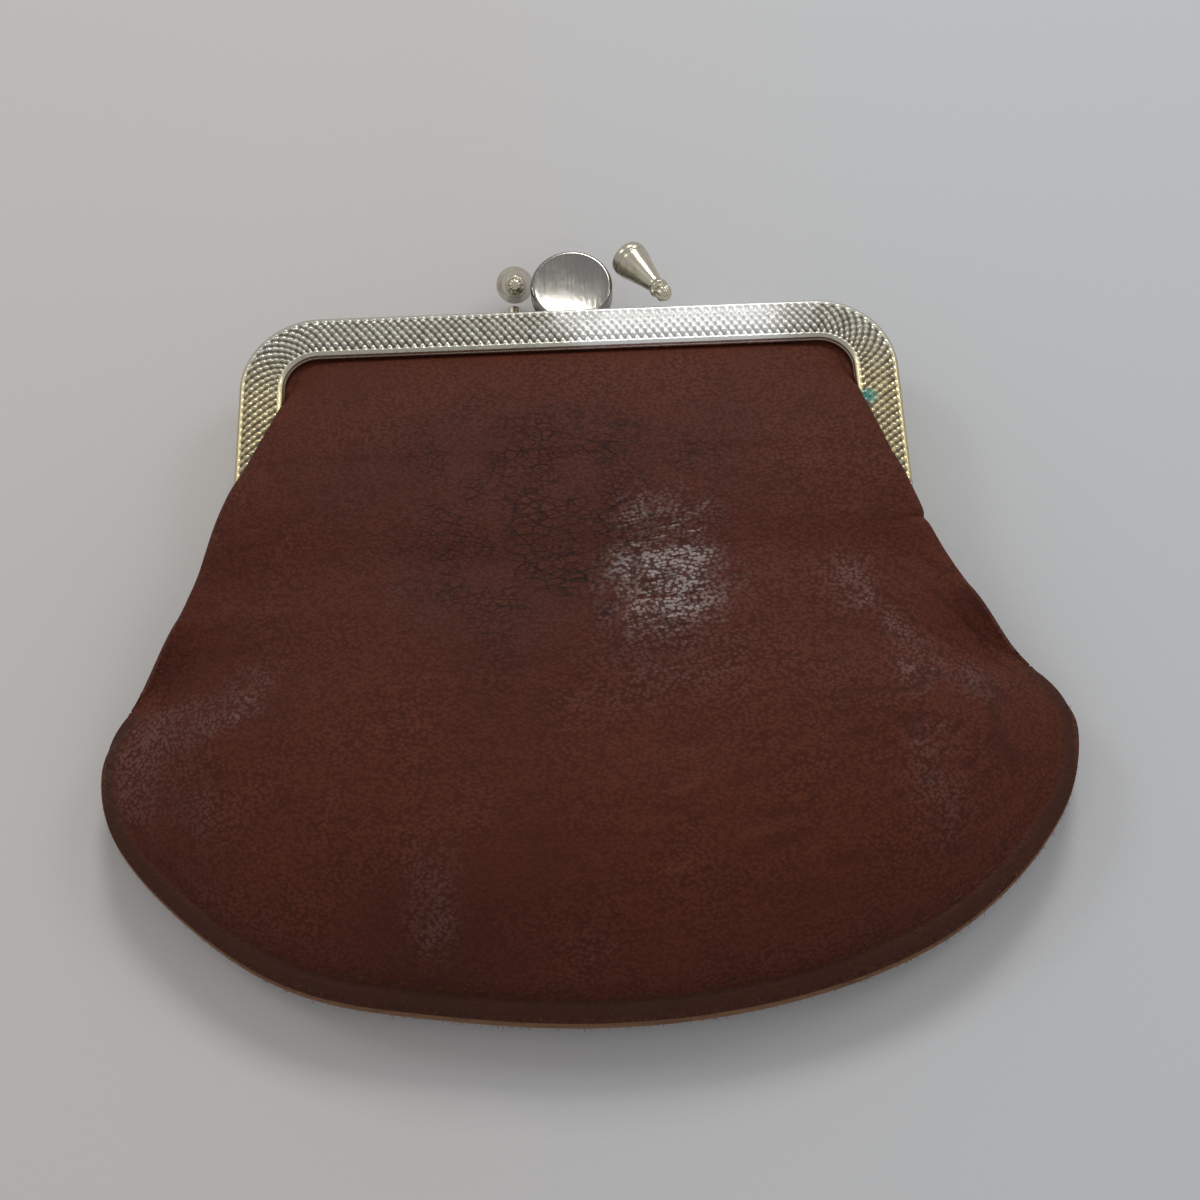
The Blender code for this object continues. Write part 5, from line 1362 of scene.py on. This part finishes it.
THREAD = Finish("linen_thread")
ply = THREAD.noise(1, 3, 0.6, vector=THREAD.stretched((1800, 1800, 1800)))
tone = THREAD.mixed(THREAD.span(ply, 0.35, 0.65), (0.085, 0.040, 0.018), (0.040, 0.019, 0.009))
THREAD.shine(base_color=tone, roughness=0.8, specular_ior_level=0.12)
THREAD.relief(ply, 0.06 * MM, 0.8)


def sheet_edge(across, front_side):
    """Plan points of the front leather's lower edge, or the rear one's, at shares of the way along it."""
    shows = (CORNER_SHOW, BOTTOM_SHOW) if front_side else (0.0, 0.0)
    edge = pouch_plan(across, 1.0, -POUCH_EDGE, fold_half_width(np.array(-POUCH_EDGE)), *shows)
    return np.stack(edge, 1)


def seam_points(front_side):
    """Places and lengths along the stitch line, inset from the sheet's edge."""
    edge = sheet_edge(np.linspace(0.012, 0.988, 900), front_side)
    tangent = np.gradient(edge, axis=0)
    tangent /= np.linalg.norm(tangent, axis=1, keepdims=True)
    inward = np.stack([-tangent[:, 1], tangent[:, 0]], 1)
    plan = edge + inward * STITCH_INSET
    length = np.concatenate([[0], np.cumsum(np.linalg.norm(np.diff(plan, axis=0), axis=1))])
    return plan, length


def stitches(front_side):
    """Points and faces of a row of stitches: capsules along the seam, thick in the middle."""
    plan, length = seam_points(front_side)
    count = int(length[-1] / STITCH_PITCH)
    middles = (np.arange(count) + 0.5) * length[-1] / count
    t = np.linspace(-1, 1, STITCH_STEPS)
    around = np.linspace(0, 2 * math.pi, THREAD_SIDES, endpoint=False)
    rng = np.random.default_rng(21)
    parts = []
    for middle in middles:
        wobble = rng.uniform(-1, 1, 3)
        if front_side and not FRONT_STITCHES_FROM < np.interp(middle, length, plan[:, 0]) < FRONT_STITCHES_TO:
            continue
        at = middle + t * STITCH_LENGTH / 2 * (1 + 0.06 * wobble[0])
        x = np.interp(at, length, plan[:, 0])
        y = np.interp(at, length, plan[:, 1])
        heading = math.atan2(y[-1] - y[0], x[-1] - x[0])
        sideways = np.array([-math.sin(heading), math.cos(heading)]) * 0.07 * MM
        x, y = x + sideways[0] * (t + wobble[1]), y + sideways[1] * (t + wobble[1])
        if front_side:
            z = (front_height(x, y) + front_relief(x, y) + LEATHER / 2 - 0.16 * MM - STITCH_SINK
                 + 0.24 * MM * (1 - t ** 2))
        else:
            z = rear_height(x, y) - LEATHER / 2 + STITCH_SINK - 0.20 * MM * (1 - t ** 2)
        radius = THREAD_RADIUS * np.sqrt(np.maximum(0.02, 1 - np.abs(t) ** 3)) * (1 + 0.08 * wobble[2])
        side = np.array([-math.sin(heading), math.cos(heading), 0])
        ring = np.cos(around)[:, None] * side + np.sin(around)[:, None] * np.array([0, 0, 1.0])
        points = np.stack([x, y, z], 1)[:, None, :] + radius[:, None, None] * ring[None, :, :]
        parts.append((points, tube_faces(STITCH_STEPS, THREAD_SIDES)))
    return join(parts)


for seam_name, front_side in (("front_seam_stitches", True), ("rear_seam_stitches", False)):
    points, faces = stitches(front_side)
    piece = new_piece(seam_name, settled(points), faces, [THREAD])
    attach(piece, "rear_half")


# The seam's cut edges: fibres frayed out of the leather where it was cut, seven in ten of them from
# the rear sheet and the others from the front one.

FIBRE_COUNT = 1500
FIBRE_SIZES = (0.30 * MM, 0.85 * MM)
FIBRE_RADIUS = 0.060 * MM
FIBRE_ROOT = 0.05 * MM
FIBRE_STEPS = 5
FIBRE_SIDES = 3
REAR_FIBRE_SHARE = 0.7

FIBRE = raw_edge_finish("frayed_fibres", (0.30, 0.115, 0.040), (0.085, 0.034, 0.020))


def frayed_fibres():
    """Points and faces of fibres along the edge: each spine is its root plus t ways plus t squared bends.

    The ways and the bends are random, and each fibre thins towards its tip.
    """
    rng = np.random.default_rng(5)
    across = rng.uniform(0.0, 1.0, FIBRE_COUNT)
    on_rear = rng.uniform(0, 1, FIBRE_COUNT) < REAR_FIBRE_SHARE
    edge, ahead = (np.where(on_rear[:, None], sheet_edge(shares, False), sheet_edge(shares, True))
                   for shares in (across, np.clip(across + 0.001, 0, 1)))
    along = ahead - edge
    along /= np.maximum(np.linalg.norm(along, axis=1, keepdims=True), 1e-9)
    away = np.stack([along[:, 1], -along[:, 0]], 1)
    height = np.where(on_rear, rear_height(edge[:, 0], edge[:, 1]), front_height(edge[:, 0], edge[:, 1]))
    height = height + rng.uniform(-0.5, 0.5, FIBRE_COUNT) * LEATHER
    roots = np.column_stack([edge - away * FIBRE_ROOT, height])
    sizes = rng.uniform(*FIBRE_SIZES, FIBRE_COUNT) * rng.uniform(0.5, 1, FIBRE_COUNT)
    outward = away * rng.uniform(0.3, 1, (FIBRE_COUNT, 1)) + along * rng.uniform(-1, 1, (FIBRE_COUNT, 1))
    ways = np.column_stack([outward, rng.uniform(-0.5, 0.4, FIBRE_COUNT)])
    bends = rng.uniform(-0.7, 0.7, (FIBRE_COUNT, 3))
    t = np.linspace(0, 1, FIBRE_STEPS)[None, :, None]
    course = t * ways[:, None, :] + t ** 2 * bends[:, None, :] / 2
    spines = roots[:, None, :] + sizes[:, None, None] * course
    turn = np.linspace(0, 2 * math.pi, FIBRE_SIDES, endpoint=False)
    ring = np.stack([np.cos(turn), np.sin(turn), np.cos(turn + 1)], 1) * FIBRE_RADIUS
    fibres = spines[:, :, None, :] + ring[None, None, :, :] * (1 - 0.7 * t[..., None])
    faces = tube_faces(FIBRE_STEPS, FIBRE_SIDES)
    return join([(fibre, faces) for fibre in fibres])


points, faces = frayed_fibres()
piece = new_piece("frayed_seam_fibres", settled(points), faces, [FIBRE])
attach(piece, "rear_half")


# The stage: a plain pale floor, a soft lamp above and behind the purse, a weaker one to each side
# of it, and the camera at the photograph's viewing angle.

FLOOR_HALF = 1.5
LAMPS = (("key", (0.075, 0.57, 0.56), 0.20, 2.05, (1.0, 0.985, 0.96)),
         ("right", (0.60, 0.42, 0.62), 0.26, 0.9, (0.93, 0.96, 1.0)),
         ("left", (-0.60, 0.42, 0.62), 0.22, 0.95, (0.96, 0.98, 1.0)))
WORLD_STRENGTH = 0.50
AIM = Vector((3.01 * MM, -10.95 * MM, 10.5 * MM))
DISTANCE = 189.7 * MM
ELEVATION = math.radians(68.8)
ROLL = math.radians(2.19)

FLOOR = Finish("grey_cloth")
weave = FLOOR.noise(1400, 3, 0.6)
tint = FLOOR.span(FLOOR.axis("X") + 0.02 * FLOOR.noise(8, 2, 0.5), -60 * MM, 70 * MM)
FLOOR.shine(base_color=FLOOR.mixed(tint, (0.560, 0.536, 0.516), (0.548, 0.556, 0.560)), roughness=0.95)
FLOOR.relief(weave, 0.10 * MM, 0.35)
corners = np.array([(-1, -1, 0), (1, -1, 0), (1, 1, 0), (-1, 1, 0)], float) * FLOOR_HALF
floor = new_piece("floor", corners, [[0, 1, 2, 3]], [FLOOR], closed=False)

for lamp_name, place, size, power, colour in LAMPS:
    lamp = bpy.data.lights.new(lamp_name, "AREA")
    lamp.size, lamp.energy, lamp.color = size, power, colour
    holder = bpy.data.objects.new(lamp_name, lamp)
    holder.location = place
    holder.rotation_euler = (AIM - Vector(place)).to_track_quat("-Z", "Y").to_euler()
    bpy.context.scene.collection.objects.link(holder)

world = bpy.data.worlds.new("studio")
world.use_nodes = True
world.node_tree.nodes["Background"].inputs["Color"].default_value = (0.98, 0.98, 1.0, 1.0)
world.node_tree.nodes["Background"].inputs["Strength"].default_value = WORLD_STRENGTH
bpy.context.scene.world = world

camera = bpy.data.cameras.new("camera")
camera.sensor_width = 36
camera.lens = 45
camera.clip_start = MM
view = bpy.data.objects.new("camera", camera)
direction = Vector((0, -math.cos(ELEVATION), math.sin(ELEVATION)))
view.location = AIM + direction * DISTANCE
aimed = (-direction).to_track_quat("-Z", "Y").to_matrix() @ Matrix.Rotation(-ROLL, 3, "Z")
view.rotation_euler = aimed.to_euler()
bpy.context.scene.collection.objects.link(view)
bpy.context.scene.camera = view
bpy.context.scene.view_settings.view_transform = "Standard"
